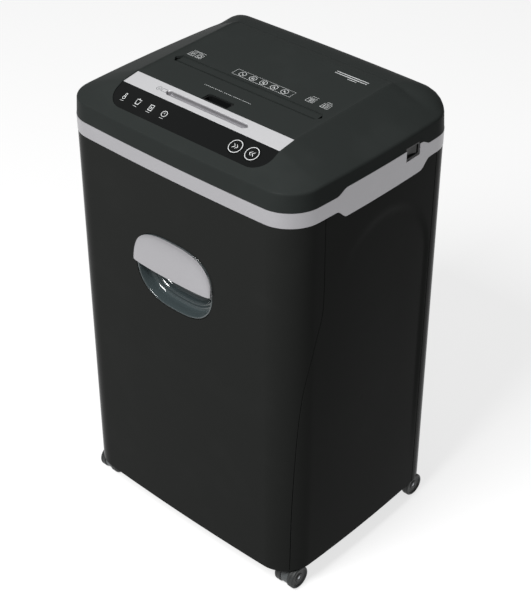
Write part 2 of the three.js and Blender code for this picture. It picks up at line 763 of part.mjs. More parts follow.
/** A satin shield over the upper half of the handle opening, bulging towards its lower edge. */
function handleShield() {
  const columns = 16;
  const rows = 5;
  const low = handleLine - 0.5;
  const place = (i, j, depth) => {
    const u = -1 + 2 * i / columns;
    const angle = Math.PI / 2 * u;
    const x = (handleHalfWidth - fitGap - 0.4) * Math.sin(angle);
    const arch = Math.max(0, 1 - Math.abs(Math.sin(angle)) ** handleFullness) ** (1 / handleFullness);
    const top = handleLine + (handleRise - fitGap - 0.4) * arch;
    const z = THREE.MathUtils.lerp(low, Math.max(top, low + 2.5), j / rows);
    const swell = shieldBulge * Math.cos(angle) ** 0.6 * Math.cos(j / rows * Math.PI / 2) ** 0.8;
    return [x, frontFace(x) - 0.3 - swell + depth, z];
  };
  const rim = [];
  for (let i = 0; i < columns; i += 1) rim.push([i, 0]);
  for (let j = 0; j < rows; j += 1) rim.push([columns, j]);
  for (let i = columns; i > 0; i -= 1) rim.push([i, rows]);
  for (let j = rows; j > 0; j -= 1) rim.push([0, j]);
  const points = [];
  const index = (i, j, back) => back * (columns + 1) * (rows + 1) + i * (rows + 1) + j;
  for (const back of [0, 1]) {
    for (let i = 0; i <= columns; i += 1) {
      for (let j = 0; j <= rows; j += 1) points.push(place(i, j, back * shieldWall));
    }
  }
  const faces = [];
  for (let i = 0; i < columns; i += 1) {
    for (let j = 0; j < rows; j += 1) {
      const corners = [[i, j], [i + 1, j], [i + 1, j + 1], [i, j + 1]];
      const [a, b, c, d] = corners.map(([m, n]) => index(m, n, 0));
      const [e, f, g, h] = corners.map(([m, n]) => index(m, n, 1));
      faces.push([a, b, c], [a, c, d], [e, g, f], [e, h, g]);
    }
  }
  rim.forEach(([i, j], k) => {
    const next = rim[(k + 1) % rim.length];
    const [a, b] = [index(i, j, 0), index(...next, 0)];
    const [c, d] = [index(...next, 1), index(i, j, 1)];
    faces.push([a, c, b], [a, d, c]);
  });
  const geometry = new THREE.BufferGeometry();
  geometry.setAttribute('position', new THREE.Float32BufferAttribute(points.flat(), 3));
  geometry.setIndex(faces.flat());
  return solid(geometry);
}

/** A clear pocket behind the opening: fingers reach in under the shield, and the bin shows through it. */
function windowScoop() {
  const front = frontFace(0) + wall + scoopGap;
  const back = frontFace(0) + scoopDepth;
  const flange = through(handleOutline(-6), front, front + scoopWall);
  const ringAt = (inset, y) => handleOutline(inset).map(([x, z]) => [x, y, z]);
  const pocket = (inset, start, end) => {
    const rings = [ringAt(inset + 1, start), ringAt(inset + 1, start + 8), ringAt(inset + 5, end - 5),
      ringAt(inset + 12, end)];
    const [lowEnd, highEnd] = [rings[0], rings.at(-1)].map((ring) => fill(ring, allOf(ring), [0, 2]));
    return loft(rings, lowEnd, highEnd);
  };
  const outer = pocket(0, front, back + scoopWall);
  const inner = pocket(scoopWall, front - 1, back);
  return cut(join(outer, flange), inner);
}

function wasteBin() {
  const front = -cabinetDepth / 2 + wall + 4;
  const tub = (inset) => {
    const [x, r] = [binHalfWidth - inset, binRadius - inset];
    const [low, high] = [front + inset, binRear - inset];
    return [...arc(x - r, low + r, r, -90, 0, 4), ...arc(x - r, high - r, r, 0, 90, 4),
      ...arc(r - x, high - r, r, 90, 180, 4), ...arc(r - x, low + r, r, 180, 270, 4)];
  };
  const outer = upright(tub(0), binFloor, binTop);
  const inner = upright(tub(binWall), binFloor + binWall, binTop + 1);
  const x = handleHalfWidth + notchMargin;
  const z = handleLine - handleDrop - 10;
  const notch = box([-x, -farY, z], [x, front + scoopDepth, binTop + 1]);
  return cut(outer, inner, notch);
}

// ---------------------------------------------------------------- casters

/** Front casters trail forwards and rear casters trail backwards at rest. */
function casterHood(sx, sy) {
  const [x, y] = [sx * casterX, sy * stemY];
  const wheelY = y + sy * trail;
  const half = hoodWidth / 2;
  const fork = rodX(wheelRadius - 1.5, x - half, x + half, wheelY, wheelRadius, fineSides);
  const [low, high] = [Math.min(y, wheelY) - 4, Math.max(y, wheelY) + 4];
  const neck = box([x - half, low, wheelRadius], [x + half, high, floorGap - plateDrop - 1]);
  const plate = rodZ(hoodPlateRadius, floorGap - plateDrop - 2, floorGap - plateDrop, x, y);
  const stem = rodZ(stemRadius, floorGap - 3, floorGap + stemLength, x, y);
  const bore = rodX(axleRadius + fitGap, x - half - 1, x + half + 1, wheelY, wheelRadius);
  return cut(join(fork, neck, plate, stem), bore);
}

function casterAxle(sx, sy) {
  const half = hoodWidth / 2 + wheelWidth - 1;
  return rodX(axleRadius, sx * casterX - half, sx * casterX + half, sy * (stemY + trail), wheelRadius);
}

/** A wheel with a dished outer face; side is the direction its face looks along X. */
function casterWheel(sx, sy, side) {
  const [r, w, bore] = [wheelRadius, wheelWidth, axleRadius + fitGap];
  const start = hoodWidth / 2 + looseGap;
  const end = start + w;
  const profile = [[bore, start], [r - 1, start], [r, start + 1], [r, end - 1.5], [r - 1.4, end],
    [r - 3.5, end], [r - 4.5, end - 1.6], [bore, end - 1], [bore, start]];
  const x = sx * casterX;
  const geometry = new THREE.LatheGeometry(profile.map(([a, b]) => new THREE.Vector2(a, b)), fineSides);
  geometry.rotateZ(side > 0 ? -Math.PI / 2 : Math.PI / 2);
  geometry.translate(x, sy * (stemY + trail), r);
  return solid(geometry);
}

// ---------------------------------------------------------------- cutting unit and drive

const halfSpan = cutterSpan / 2;

function cutterPlate(side) {
  const rear = (side > 0 ? motorAxis.y : cutterYs[1]) + plateMargin;
  const front = cutterYs[0] - plateMargin;
  const [low, high] = [frameHeight + frameThickness + fitGap, cutterHeight + plateRise];
  const outline = [[front, low], [rear, low], [rear, high - 12], [rear - 12, high], [front, high]];
  const hole = (radius, y, z) => circle(y, z, radius, fineSides);
  const holes = cutterYs.map((y) => hole(journalRadius + bushWall + 2 * fitGap, y, cutterHeight));
  holes.push(...tieYs.map((y) => hole(tieRadius + fitGap, y, cutterHeight + tieRise)));
  if (side > 0) {
    holes.push(hole(idlerRadius + fitGap, idler.y, idler.z));
    holes.push(hole(motorShaftRadius + 2, motorAxis.y, motorAxis.z));
  }
  const [a, b] = [side * halfSpan, side * (halfSpan + plateWall)];
  return across(outline, Math.min(a, b), Math.max(a, b), holes);
}

const tieYs = [cutterYs[0] - 8, cutterYs[1] + 12];

function tieBar(y) {
  return rodX(tieRadius, -halfSpan - plateWall, halfSpan + plateWall, y, cutterHeight + tieRise);
}

function bush(y, side) {
  const [a, b] = [halfSpan - 1, halfSpan + plateWall + 1.5];
  const [inner, outer] = [journalRadius + fitGap, journalRadius + bushWall + fitGap];
  const profile = [[inner, a], [outer, a], [outer, b], [inner, b], [inner, a]];
  const geometry = new THREE.LatheGeometry(profile.map(([r, x]) => new THREE.Vector2(r, x)), fineSides);
  geometry.rotateZ(side > 0 ? -Math.PI / 2 : Math.PI / 2);
  geometry.translate(0, y, cutterHeight);
  return solid(geometry);
}

/** A shaft with its cutting discs; the two shafts' discs sit in each other's gaps. */
function cutterShaft(y, shift, end) {
  const width = discPitch / 2 - sideClearance;
  const first = -discPitch * discCount / 2 + shift;
  const profile = [[0, -halfSpan - plateWall - 6], [journalRadius, -halfSpan - plateWall - 6],
    [journalRadius, -halfSpan + 3], [hubRadius, -halfSpan + 3]];
  for (let i = 0; i < discCount; i += 1) {
    const x = first + discPitch * i;
    profile.push([hubRadius, x], [discRadius, x], [discRadius, x + width], [hubRadius, x + width]);
  }
  profile.push([hubRadius, halfSpan - 3], [journalRadius, halfSpan - 3], [journalRadius, end], [0, end]);
  return turnedX(profile, holeSides, y, cutterHeight);
}

/** A bar with fingers that reach between one shaft's discs to strip them clean. */
function stripperComb(y, shift, direction) {
  const base = y + direction * (discRadius + 3);
  const tip = y + direction * (hubRadius + 1);
  const bar = (a, b, x0, x1, z0, z1) => box([x0, Math.min(a, b), z0], [x1, Math.max(a, b), z1]);
  const body = bar(base, base + direction * 6, -halfSpan + looseGap, halfSpan - looseGap,
    cutterHeight - 22, cutterHeight - 4);
  const first = -discPitch * discCount / 2 + shift + discPitch / 2 - sideClearance;
  const fingers = Array.from({ length: discCount - 1 }, (_, i) => {
    const x = first + discPitch * i + 1.2;
    return bar(base + direction, tip, x, x + discPitch / 2 - 1.8, cutterHeight - 12, cutterHeight - 5);
  });
  return join(body, ...fingers);
}

/** A gear's outline with one tooth centred on the phase angle. */
function gearOutline(teeth, phase) {
  const pitch = 2 * Math.PI / teeth;
  const radius = gearModule * teeth / 2;
  const [root, tip] = [radius - 1.25 * gearModule, radius + 0.85 * gearModule];
  const corners = [[root, -0.27], [tip, -0.1], [tip, 0.1], [root, 0.27]];
  return Array.from({ length: teeth }, (_, k) => corners.map(([r, share]) => {
    const angle = phase + (k + share) * pitch;
    return [r * Math.cos(angle), r * Math.sin(angle)];
  })).flat();
}

function gear(teeth, phase, plane, y, z, bore) {
  const outline = gearOutline(teeth, phase).map(([a, b]) => [y + a, z + b]);
  const holes = bore ? [circle(y, z, bore)] : [];
  return across(outline, gearPlanes[plane], gearPlanes[plane] + gearWidth, holes);
}

const toIdler = Math.atan2(idler.z - cutterHeight, idler.y - cutterYs[1]);
const toMotor = Math.atan2(motorAxis.z - idler.z, motorAxis.y - idler.y);
const meshed = (angle, teeth) => angle + Math.PI + Math.PI / teeth;

function idlerGear() {
  const small = gear(smallTeeth, meshed(toIdler, smallTeeth), 1, idler.y, idler.z);
  const large = gear(largeTeeth, toMotor, 2, idler.y, idler.z);
  const hub = rodX(9, gearPlanes[1] + 1, gearPlanes[2] + 1, idler.y, idler.z);
  const bore = rodX(idlerRadius + fitGap, 0, farX, idler.y, idler.z);
  return cut(join(small, large, hub), bore);
}

function idlerPin() {
  return rodX(idlerRadius, halfSpan + looseGap, gearPlanes[2] + gearWidth + 3, idler.y, idler.z);
}

function motorPinion() {
  const pinion = gear(smallTeeth, meshed(toMotor, smallTeeth), 2, motorAxis.y, motorAxis.z);
  const end = gearPlanes[2] + gearWidth + 2;
  const shaft = rodX(motorShaftRadius, halfSpan - shaftReach, end, motorAxis.y, motorAxis.z);
  return join(pinion, shaft);
}

function motor() {
  const end = halfSpan - fitGap;
  const [r, low] = [motorRadius, end - motorLength];
  const profile = [[0, low], [8, low], [8, low + 6], [r - 5, low + 6], [r, low + 11], [r, end - 8],
    [r - 6, end - 8], [r - 6, end], [0, end]];
  const can = turnedX(profile, fineSides, motorAxis.y, motorAxis.z);
  const bore = rodX(motorShaftRadius + looseGap, halfSpan - shaftReach - 1, farX, motorAxis.y, motorAxis.z);
  return cut(can, bore);
}

function paperSensor() {
  const front = paperRear + throatFlange + 1;
  const z = topHeight(paperRear);
  return box([-9, front, z - 20], [9, front + 12, z - coverWall - looseGap]);
}

function doorSwitch() {
  const low = frameHeight + frameThickness + fitGap;
  const front = cabinetFront + frameSetback + 1;
  const x = cabinetWidth / 2 - wall - 57;
  return box([x, front, low], [x + 20, front + 10, low + 24]);
}

// ---------------------------------------------------------------- materials

const finish = {
  satinBlack: { color: 0x1b1d1d, roughness: 0.42, metalness: 0 },
  deckGrey: { color: 0x303333, roughness: 0.5, metalness: 0 },
  glossBlack: { color: 0x101112, roughness: 0.12, metalness: 0 },
  silver: { color: 0xb8b8ba, roughness: 0.35, metalness: 0.7 },
  smoke: { color: 0x2c3436, roughness: 0.08, metalness: 0 },
  binGrey: { color: 0x3a3d3e, roughness: 0.6, metalness: 0 },
  wheelBlack: { color: 0x1c1e1e, roughness: 0.55, metalness: 0 },
  hoodGrey: { color: 0x3c4041, roughness: 0.5, metalness: 0 },
  steel: { color: 0x9a9ca0, roughness: 0.35, metalness: 1 },
  toolSteel: { color: 0x6f7275, roughness: 0.3, metalness: 1 },
  bronze: { color: 0xa07b3c, roughness: 0.4, metalness: 1 },
  gearNylon: { color: 0xd8d6cc, roughness: 0.5, metalness: 0 },
  boardGreen: { color: 0x1f5a34, roughness: 0.5, metalness: 0 },
  clear: { color: 0xd8e4e4, roughness: 0.1, metalness: 0 },
};

/** A named mesh from a manifold solid. */
function mesh(name, body, look) {
  const piece = new THREE.Mesh(geometryOf(body), new THREE.MeshStandardMaterial(finish[look]));
  piece.name = name;
  return piece;
}

// ---------------------------------------------------------------- assembly

const cabinet = new THREE.Group();
cabinet.add(
  mesh('base_plate', basePlate(), 'satinBlack'),
  mesh('left_side_panel', sidePanel(-1), 'satinBlack'),
  mesh('right_side_panel', sidePanel(1), 'satinBlack'),
  mesh('rear_panel', rearPanel(), 'satinBlack'),
  mesh('mains_inlet', mainsInlet(), 'glossBlack'),
  mesh('head_frame', headFrame(), 'steel'),
  mesh('trim_band', trimBand(), 'silver'),
);

const head = new THREE.Group();
head.add(
  mesh('top_cover', topCover(), 'deckGrey'),
  mesh('control_panel', controlPanel(), 'glossBlack'),
  mesh('deck_strip', deckStrip(), 'silver'),
  mesh('paper_throat', paperThroat(), 'deckGrey'),
  mesh('disc_throat', discThroat(), 'silver'),
  mesh('finger_recess', fingerRecess(), 'glossBlack'),
  mesh('light_guide', lightGuide(), 'clear'),
  mesh('circuit_board', circuitBoard(), 'boardGreen'),
  mesh('paper_sensor', paperSensor(), 'glossBlack'),
  mesh('door_switch', doorSwitch(), 'glossBlack'),
  mesh('switch_bezel', switchBezel(), 'glossBlack'),
  mesh('switch_rocker', switchRocker(), 'glossBlack'),
);
buttonXs.forEach((x, i) => head.add(mesh(`push_button_${i + 1}`, pushButton(x), 'glossBlack')));

const drawer = new THREE.Group();
drawer.add(
  mesh('front_door', frontDoor(), 'satinBlack'),
  mesh('handle_shield', handleShield(), 'silver'),
  mesh('window_scoop', windowScoop(), 'smoke'),
  mesh('waste_bin', wasteBin(), 'binGrey'),
);

const casters = new THREE.Group();
for (const [corner, sx, sy] of [['fl', -1, -1], ['fr', 1, -1], ['rl', -1, 1], ['rr', 1, 1]]) {
  casters.add(
    mesh(`caster_hood_${corner}`, casterHood(sx, sy), 'hoodGrey'),
    mesh(`caster_axle_${corner}`, casterAxle(sx, sy), 'steel'),
    mesh(`wheel_${corner}_left`, casterWheel(sx, sy, -1), 'wheelBlack'),
    mesh(`wheel_${corner}_right`, casterWheel(sx, sy, 1), 'wheelBlack'),
  );
}

const cutting = new THREE.Group();
const gearBore = journalRadius + fitGap;
const halfPitch = discPitch / 2;
cutting.add(
  mesh('cutter_plate_left', cutterPlate(-1), 'steel'),
  mesh('cutter_plate_right', cutterPlate(1), 'steel'),
  mesh('cutter_shaft_front', cutterShaft(cutterYs[0], 0, gearPlanes[0] + gearWidth + 1), 'toolSteel'),
  mesh('cutter_shaft_rear', cutterShaft(cutterYs[1], halfPitch, gearPlanes[1] + gearWidth + 1), 'toolSteel'),
  mesh('stripper_comb_front', stripperComb(cutterYs[0], 0, -1), 'wheelBlack'),
  mesh('stripper_comb_rear', stripperComb(cutterYs[1], halfPitch, 1), 'wheelBlack'),
  mesh('cutter_gear_front', gear(cutterTeeth, 0, 0, cutterYs[0], cutterHeight, gearBore), 'gearNylon'),
  mesh('cutter_gear_rear', gear(cutterTeeth, meshed(0, cutterTeeth), 0, cutterYs[1], cutterHeight, gearBore),
    'gearNylon'),
  mesh('drive_gear', gear(largeTeeth, toIdler, 1, cutterYs[1], cutterHeight, gearBore), 'gearNylon'),
  mesh('idler_gear', idlerGear(), 'gearNylon'),
  mesh('idler_pin', idlerPin(), 'steel'),
  mesh('motor', motor(), 'steel'),
  mesh('motor_pinion', motorPinion(), 'toolSteel'),
);
tieYs.forEach((y, i) => cutting.add(mesh(`tie_bar_${i + 1}`, tieBar(y), 'steel')));
cutterYs.forEach((y, i) => {
  const place = ['front', 'rear'][i];
  cutting.add(
    mesh(`bush_${place}_left`, bush(y, -1), 'bronze'),
    mesh(`bush_${place}_right`, bush(y, 1), 'bronze'),
  );
});

const shredder = new THREE.Group();
shredder.add(cabinet, head, drawer, casters, cutting);

export default shredder;
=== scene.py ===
"""Looks of a free-standing paper shredder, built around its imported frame.

Sizes are in millimetres in the size classes and are turned into metres where a mesh is made.
The front faces -Y, the right side faces +X and the floor is at z = 0.
"""

import json
import logging
import math
from collections.abc import Callable, Iterable, Sequence
from dataclasses import dataclass, field
from enum import Enum

import bmesh
import bpy
from mathutils import Matrix, Vector


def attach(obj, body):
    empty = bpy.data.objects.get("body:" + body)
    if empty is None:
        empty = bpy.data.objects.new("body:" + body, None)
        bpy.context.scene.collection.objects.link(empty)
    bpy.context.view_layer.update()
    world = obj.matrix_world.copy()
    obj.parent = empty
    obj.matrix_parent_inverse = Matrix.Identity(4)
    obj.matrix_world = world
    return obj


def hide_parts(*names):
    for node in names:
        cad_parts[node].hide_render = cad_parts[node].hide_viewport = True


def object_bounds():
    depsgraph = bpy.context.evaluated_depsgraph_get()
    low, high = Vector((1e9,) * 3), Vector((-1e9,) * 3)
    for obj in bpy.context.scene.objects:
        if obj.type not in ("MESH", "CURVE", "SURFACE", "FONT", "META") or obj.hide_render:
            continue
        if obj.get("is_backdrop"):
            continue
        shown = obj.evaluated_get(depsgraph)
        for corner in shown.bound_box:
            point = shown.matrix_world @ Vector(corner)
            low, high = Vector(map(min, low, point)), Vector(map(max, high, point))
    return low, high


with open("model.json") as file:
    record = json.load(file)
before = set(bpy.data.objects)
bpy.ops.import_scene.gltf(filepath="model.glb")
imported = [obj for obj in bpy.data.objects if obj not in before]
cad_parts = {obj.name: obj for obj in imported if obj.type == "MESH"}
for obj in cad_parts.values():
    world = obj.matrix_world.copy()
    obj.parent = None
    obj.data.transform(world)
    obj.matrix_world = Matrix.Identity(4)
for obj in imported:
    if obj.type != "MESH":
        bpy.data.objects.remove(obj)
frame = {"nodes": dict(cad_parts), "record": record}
log = logging.getLogger("shredder")

MM = 0.001
Point = tuple[float, float, float]
Flat = tuple[float, float]
Place = Callable[[float, float, float], Point]


class Mode(Enum):
    """The kinds of modifier that are used."""

    BOOLEAN = "BOOLEAN"
    BEVEL = "BEVEL"
    SOLIDIFY = "SOLIDIFY"


class Body(Enum):
    """The moving bodies of the frame that pieces ride on."""

    CABINET = "cabinet"
    DRAWER = "bin_drawer"
    ROCKER = "power_rocker"


# ---------------------------------------------------------------- numbers


def smoothstep(value: float, low: float, high: float) -> float:
    """Eases from 0 to 1."""
    t = min(1.0, max(0.0, (value - low) / (high - low)))
    return t * t * (3 - 2 * t)


def mix(a: float, b: float, t: float) -> float:
    """Blends two numbers."""
    return a + (b - a) * t


def steps(count: int) -> list[float]:
    """Splits 0 to 1 into equal steps."""
    return [i / count for i in range(count + 1)]


def linear(hex_colour: str) -> tuple[float, float, float, float]:
    """Turns an sRGB hex colour into Blender's linear values.

    Args:
        hex_colour: Six hex digits after a hash sign.
    Returns:
        Red, green, blue and alpha.
    """
    parts = [int(hex_colour[i : i + 2], 16) / 255 for i in (1, 3, 5)]
    r, g, b = (c / 12.92 if c <= 0.04045 else ((c + 0.055) / 1.055) ** 2.4 for c in parts)
    return (r, g, b, 1.0)


# ---------------------------------------------------------------- sizes


@dataclass(frozen=True)
class Loop:
    """A rounded rectangle, read on its right half from the middle of the front to the middle of the rear."""

    half: float
    front: float
    rear: float
    front_radius: float
    rear_radius: float

    def point(self, part: int, share: float) -> Flat:
        """Finds a point on the right half.

        Args:
            part: 0 front, 1 front corner, 2 side, 3 rear corner, 4 rear.
            share: The share of that part, from 0 to 1.
        Returns:
            The x and y of the point.
        """
        f, r = self.front_radius, self.rear_radius
        turn = share * math.pi / 2
        if part == 0:
            return share * (self.half - f), self.front
        if part == 1:
            return self.half - f + f * math.sin(turn), self.front + f - f * math.cos(turn)
        if part == 2:
            return self.half, mix(self.front + f, self.rear - r, share)
        if part == 3:
            return self.half - r + r * math.cos(turn), self.rear - r + r * math.sin(turn)
        return (1 - share) * (self.half - r), self.rear


@dataclass(frozen=True)
class Cabinet:
    """The cabinet's outline, heights and seams."""

    width: float = 380.0
    depth: float = 304.0
    corner: float = 41.0
    side_bow: float = 5.0
    front_bow: float = 4.5
    foot: float = 35.0
    height: float = 538.5
    wall: float = 3.0
    band: float = 20.0
    band_proud: float = 0.4
    grip_drop: float = 12.0
    grip_rise: float = 7.0
    grip_half: float = 69.0
    grip_run: float = 18.0
    grip_y: float = 7.0
    rear_seam: float = 111.0
    door_gap: float = 0.8

    @property
    def top(self) -> float:
        """Height of the cabinet's top edge."""
        return self.foot + self.height

    @property
    def band_top(self) -> float:
        """Height of the band's upper edge at the front."""
        return self.top + self.band

    @property
    def flat(self) -> float:
        """Half the straight part of the front."""
        return self.width / 2 - self.corner

    @property
    def quarter(self) -> float:
        """Length of one corner."""
        return self.corner * math.pi / 2

    @property
    def half_round(self) -> float:
        """Half the way round the outline."""
        return 2 * self.flat + 2 * self.quarter + self.depth - 2 * self.corner

    def bowed(self, x: float, y: float) -> Flat:
        """Swells the straight sides gently.

        Args:
            x: Place across.
            y: Place along.
        Returns:
            The swollen x and y.
        """
        across = (2 * x / self.width) ** 2
        along = (2 * y / self.depth) ** 2
        return (
            x * (1 + 2 * self.side_bow / self.width * (1 - along)),
            y * (1 + 2 * self.front_bow / self.depth * (1 - across)),
        )

    def loop(self, inset: float) -> Loop:
        """Gives the outline before it is bowed.

        Args:
            inset: How far inside the outer wall.
        Returns:
            The rounded rectangle.
        """
        y = self.depth / 2 - inset
        r = self.corner - inset
        return Loop(self.width / 2 - inset, -y, y, r, r)

    def at(self, s: float, inset: float = 0.0) -> Flat:
        """Finds the outline's point at a distance from the middle of the front.

        Args:
            s: The distance, positive to the right, at most half_round either way.
            inset: How far inside the outer wall.
        Returns:
            The bowed x and y.
        """
        sign = 1 if s >= 0 else -1
        s = abs(s)
        lengths = [self.flat, self.quarter, self.depth - 2 * self.corner, self.quarter, self.flat]
        part = 0
        while part < 4 and s > lengths[part]:
            s -= lengths[part]
            part += 1
        x, y = self.loop(inset).point(part, min(1.0, s / lengths[part]))
        return self.bowed(sign * x, y)

    def along(self, y: float) -> float:
        """Gives the distance round the outline where its right side passes a y.

        Args:
            y: Place along, from the front corner to the rear corner.
        Returns:
            The distance from the middle of the front.
        """
        start = self.corner - self.depth / 2
        if y >= start:
            return self.flat + self.quarter + y - start
        return self.flat + self.corner * math.acos(min(1.0, (start - y) / self.corner))

    def seam(self, z: float) -> float:
        """Gives the door's side edge, which swings forward in an S below the head.

        Args:
            z: A height.
        Returns:
            The y of the edge there.
        """
        knots = [(-40, 54.0), (60, 54.4), (105, 54.5), (135, 52.5)]
        knots += [(181, 39.0), (250, 24.5), (395, 16.5), (560, 14.2)]
        down = self.top - z
        for i in range(len(knots) - 1):
            if down <= knots[i + 1][0] or i == len(knots) - 2:
                break
        before, after = knots[max(0, i - 1)], knots[min(len(knots) - 1, i + 2)]
        (d0, b0), (d1, b1) = knots[i], knots[i + 1]
        t = min(1.0, max(0.0, (down - d0) / (d1 - d0)))
        m0 = (b1 - before[1]) / max(1e-6, d1 - before[0]) * (d1 - d0)
        m1 = (after[1] - b0) / max(1e-6, after[0] - d0) * (d1 - d0)
        a, b = 2 * t**3 - 3 * t**2 + 1, t**3 - 2 * t**2 + t
        c, d = 3 * t**2 - 2 * t**3, t**3 - t**2
        return -self.depth / 2 + a * b0 + b * m0 + c * b1 + d * m1

    def grip(self, y: float) -> float:
        """Gives the share of the side grip's extra height."""
        return smoothstep(self.grip_half + self.grip_run - abs(y - self.grip_y), 0, self.grip_run)

    def band_low(self, y: float) -> float:
        """Gives the band's lower edge."""
        return self.top - self.grip_drop * self.grip(y)

    def band_high(self, y: float) -> float:
        """Gives the band's upper edge."""
        return self.band_top + self.grip_rise * self.grip(y)


@dataclass(frozen=True)
class Head:
    """The cover's sloping faces and what is let into them."""

    wall_height: float = 24.0
    lip: float = 1.5
    edge_round: float = 3.2
    half: float = 130.0
    rear: float = 104.0
    rise: float = 32.2
    slope: float = 0.034
    front_radius: float = 25.0
    rear_radius: float = 5.0
    roll_length: float = 17.0
    roll_drop: float = 3.4
    bead: float = 0.7
    strip_rear: float = -79.7
    strip_depth: float = 25.3
    strip_slope: float = 0.167
    panel_depth: float = 32.2
    panel_slope: float = 0.5
    plate: float = 1.5
    gap: float = 0.3
    thickness: float = 3.0
    base: float = 593.5
    paper_half: float = 114.5
    paper_front: float = -31.0
    paper_rear: float = -14.5
    slot_point: float = 6.0
    disc_half: float = 62.5
    recess_half: float = 20.5
    recess_front: float = -78.5
    recess_width: float = 15.0
    control_line: float = 17.5
    button_radius: float = 10.4
    button_xs: tuple[float, ...] = (74.8, 100.4)
    light_xs: tuple[float, ...] = (-109.0, -86.5, -64.0, -41.5)

    @property
    def edge(self) -> float:
        """Height of the cover's outer edge."""
        return self.base + self.wall_height

    @property
    def top(self) -> float:
        """Height of the deck at its rear."""
        return self.edge + self.rise

    @property
    def strip_front(self) -> float:
        """The y of the line between the strip and the panel."""
        return self.strip_rear - self.strip_depth

    @property
    def panel_front(self) -> float:
        """The y of the panel's lower edge."""
        return self.strip_front - self.panel_depth

    def height(self, y: float) -> float:
        """Gives the height of the deck, strip or panel.

        Args:
            y: Place along.
        Returns:
            The height there.
        """
        strip_z = self.top - self.slope * (self.rear - self.strip_rear)
        if y >= self.strip_rear:
            roll = max(0.0, (y - self.rear + self.roll_length) / self.roll_length)
            return self.top - self.slope * (self.rear - y) - self.roll_drop * roll**2
        if y >= self.strip_front:
            return strip_z - self.strip_slope * (self.strip_rear - y)
        panel_z = strip_z - self.strip_slope * self.strip_depth
        return panel_z - self.panel_slope * (self.strip_front - y)

    def crest(self, y: float) -> float:
        """Gives the height of the bead round the deck."""
        return self.height(y) + self.bead

    def deck(self, inset: float) -> Loop:
        """Gives the deck's outline.

        Args:
            inset: How far inside the ridge.
        Returns:
            The rounded rectangle.
        """
        return Loop(
            self.half - inset,
            self.panel_front + inset,
            self.rear - inset,
            self.front_radius - inset,
            self.rear_radius - inset,
        )


@dataclass(frozen=True)
class Handle:
    """The handle opening in the door, its shield and the clear pocket behind it."""

    half: float = 67.0
    line: float = 436.0
    rise: float = 49.0
    drop: float = 54.0
    fullness: float = 2.7
    bulge: float = 9.0
    rim: float = 2.2
    shield: float = 4.6
    pocket: float = 26.0
    pocket_wall: float = 2.0
    setback: float = 3.8

    def outline(self, inset: float, count: int = 96) -> list[Flat]:
        """Gives the opening's outline.

        Args:
            inset: How far inside the opening's edge.
            count: How many points.
        Returns:
            Points as x and z.
        """
        points = []
        for i in range(count):
            angle = 2 * math.pi * i / count
            c, s = math.cos(angle), math.sin(angle)
            low = s < 0
            power = 2 / self.fullness
            half = self.half - inset - (4 * abs(s) if low else 0)
            height = (self.drop if low else self.rise) - inset
            x = half * math.copysign(abs(c) ** power, c)
            points.append((x, self.line + height * math.copysign(abs(s) ** power, s)))
        return points


@dataclass(frozen=True)
class Caster:
    """A twin-wheel caster."""

    x: float = 172.0
    stem_y: float = 113.0
    trail: float = 11.5
    radius: float = 16.5
    wheel: float = 10.0
    hood: float = 10.8
    bore: float = 2.8
    gap: float = 0.5


CABINET = Cabinet()
HEAD = Head()
HANDLE = Handle()
CASTER = Caster()


# ---------------------------------------------------------------- meshes


def make_object(
    name: str, points: Iterable[Sequence[float]], faces: Iterable[Sequence[int]]
) -> bpy.types.Object:
    """Makes a smooth-shaded mesh object.

    Args:
        name: The piece's name.
        points: Corners in millimetres.
        faces: Corner numbers of each face.
    Returns:
        The linked object.
    """
    mesh = bpy.data.meshes.new(name)
    mesh.from_pydata([Vector(p) * MM for p in points], [], [tuple(f) for f in faces])
    mesh.validate()
    for polygon in mesh.polygons:
        polygon.use_smooth = True
    piece = bpy.data.objects.new(name, mesh)
    bpy.context.scene.collection.objects.link(piece)
    return piece


def face_out(piece: bpy.types.Object, weld: float = 0.0) -> bpy.types.Object:
    """Turns every face of a closed piece outwards.

    Args:
        piece: The object to mend.
        weld: The distance in millimetres within which corners are merged.
    Returns:
        The same object.
    """
    work = bmesh.new()
    work.from_mesh(piece.data)
    if weld:
        bmesh.ops.remove_doubles(work, verts=work.verts, dist=weld * MM)
    bmesh.ops.recalc_face_normals(work, faces=work.faces)
    work.to_mesh(piece.data)
    work.free()
    return piece


def grid(name: str, rows: Sequence[Sequence[Point]], closed: bool = False) -> bpy.types.Object:
    """Makes a sheet of quads.

    Args:
        name: The piece's name.
        rows: Rows of points, all of one length.
        closed: Whether each row runs round to its start.
    Returns:
        The sheet.
    """
    count = len(rows[0])
    faces = []
    for j in range(len(rows) - 1):
        for i in range(count if closed else count - 1):
            a, b = j * count + i, j * count + (i + 1) % count
            faces.append((a, b, b + count, a + count))
    return make_object(name, [p for row in rows for p in row], faces)


def bake(piece: bpy.types.Object) -> bpy.types.Object:
    """Turns a piece's modifiers into its mesh.

    Args:
        piece: The object.
    Returns:
        The same object with no modifiers.
    """
    graph = bpy.context.evaluated_depsgraph_get()
    graph.update()
    mesh = bpy.data.meshes.new_from_object(piece.evaluated_get(graph), depsgraph=graph)
    piece.modifiers.clear()
    piece.data = mesh
    return piece


def modify(piece: bpy.types.Object, mode: Mode, **settings: object) -> bpy.types.Object:
    """Adds a modifier.

    Args:
        piece: The object.
        mode: Which modifier.
        settings: Its settings by name.
    Returns:
        The same object.
    """
    modifier = piece.modifiers.new(mode.value.lower(), mode.value)
    for key, value in settings.items():
        setattr(modifier, key, value)
    return piece


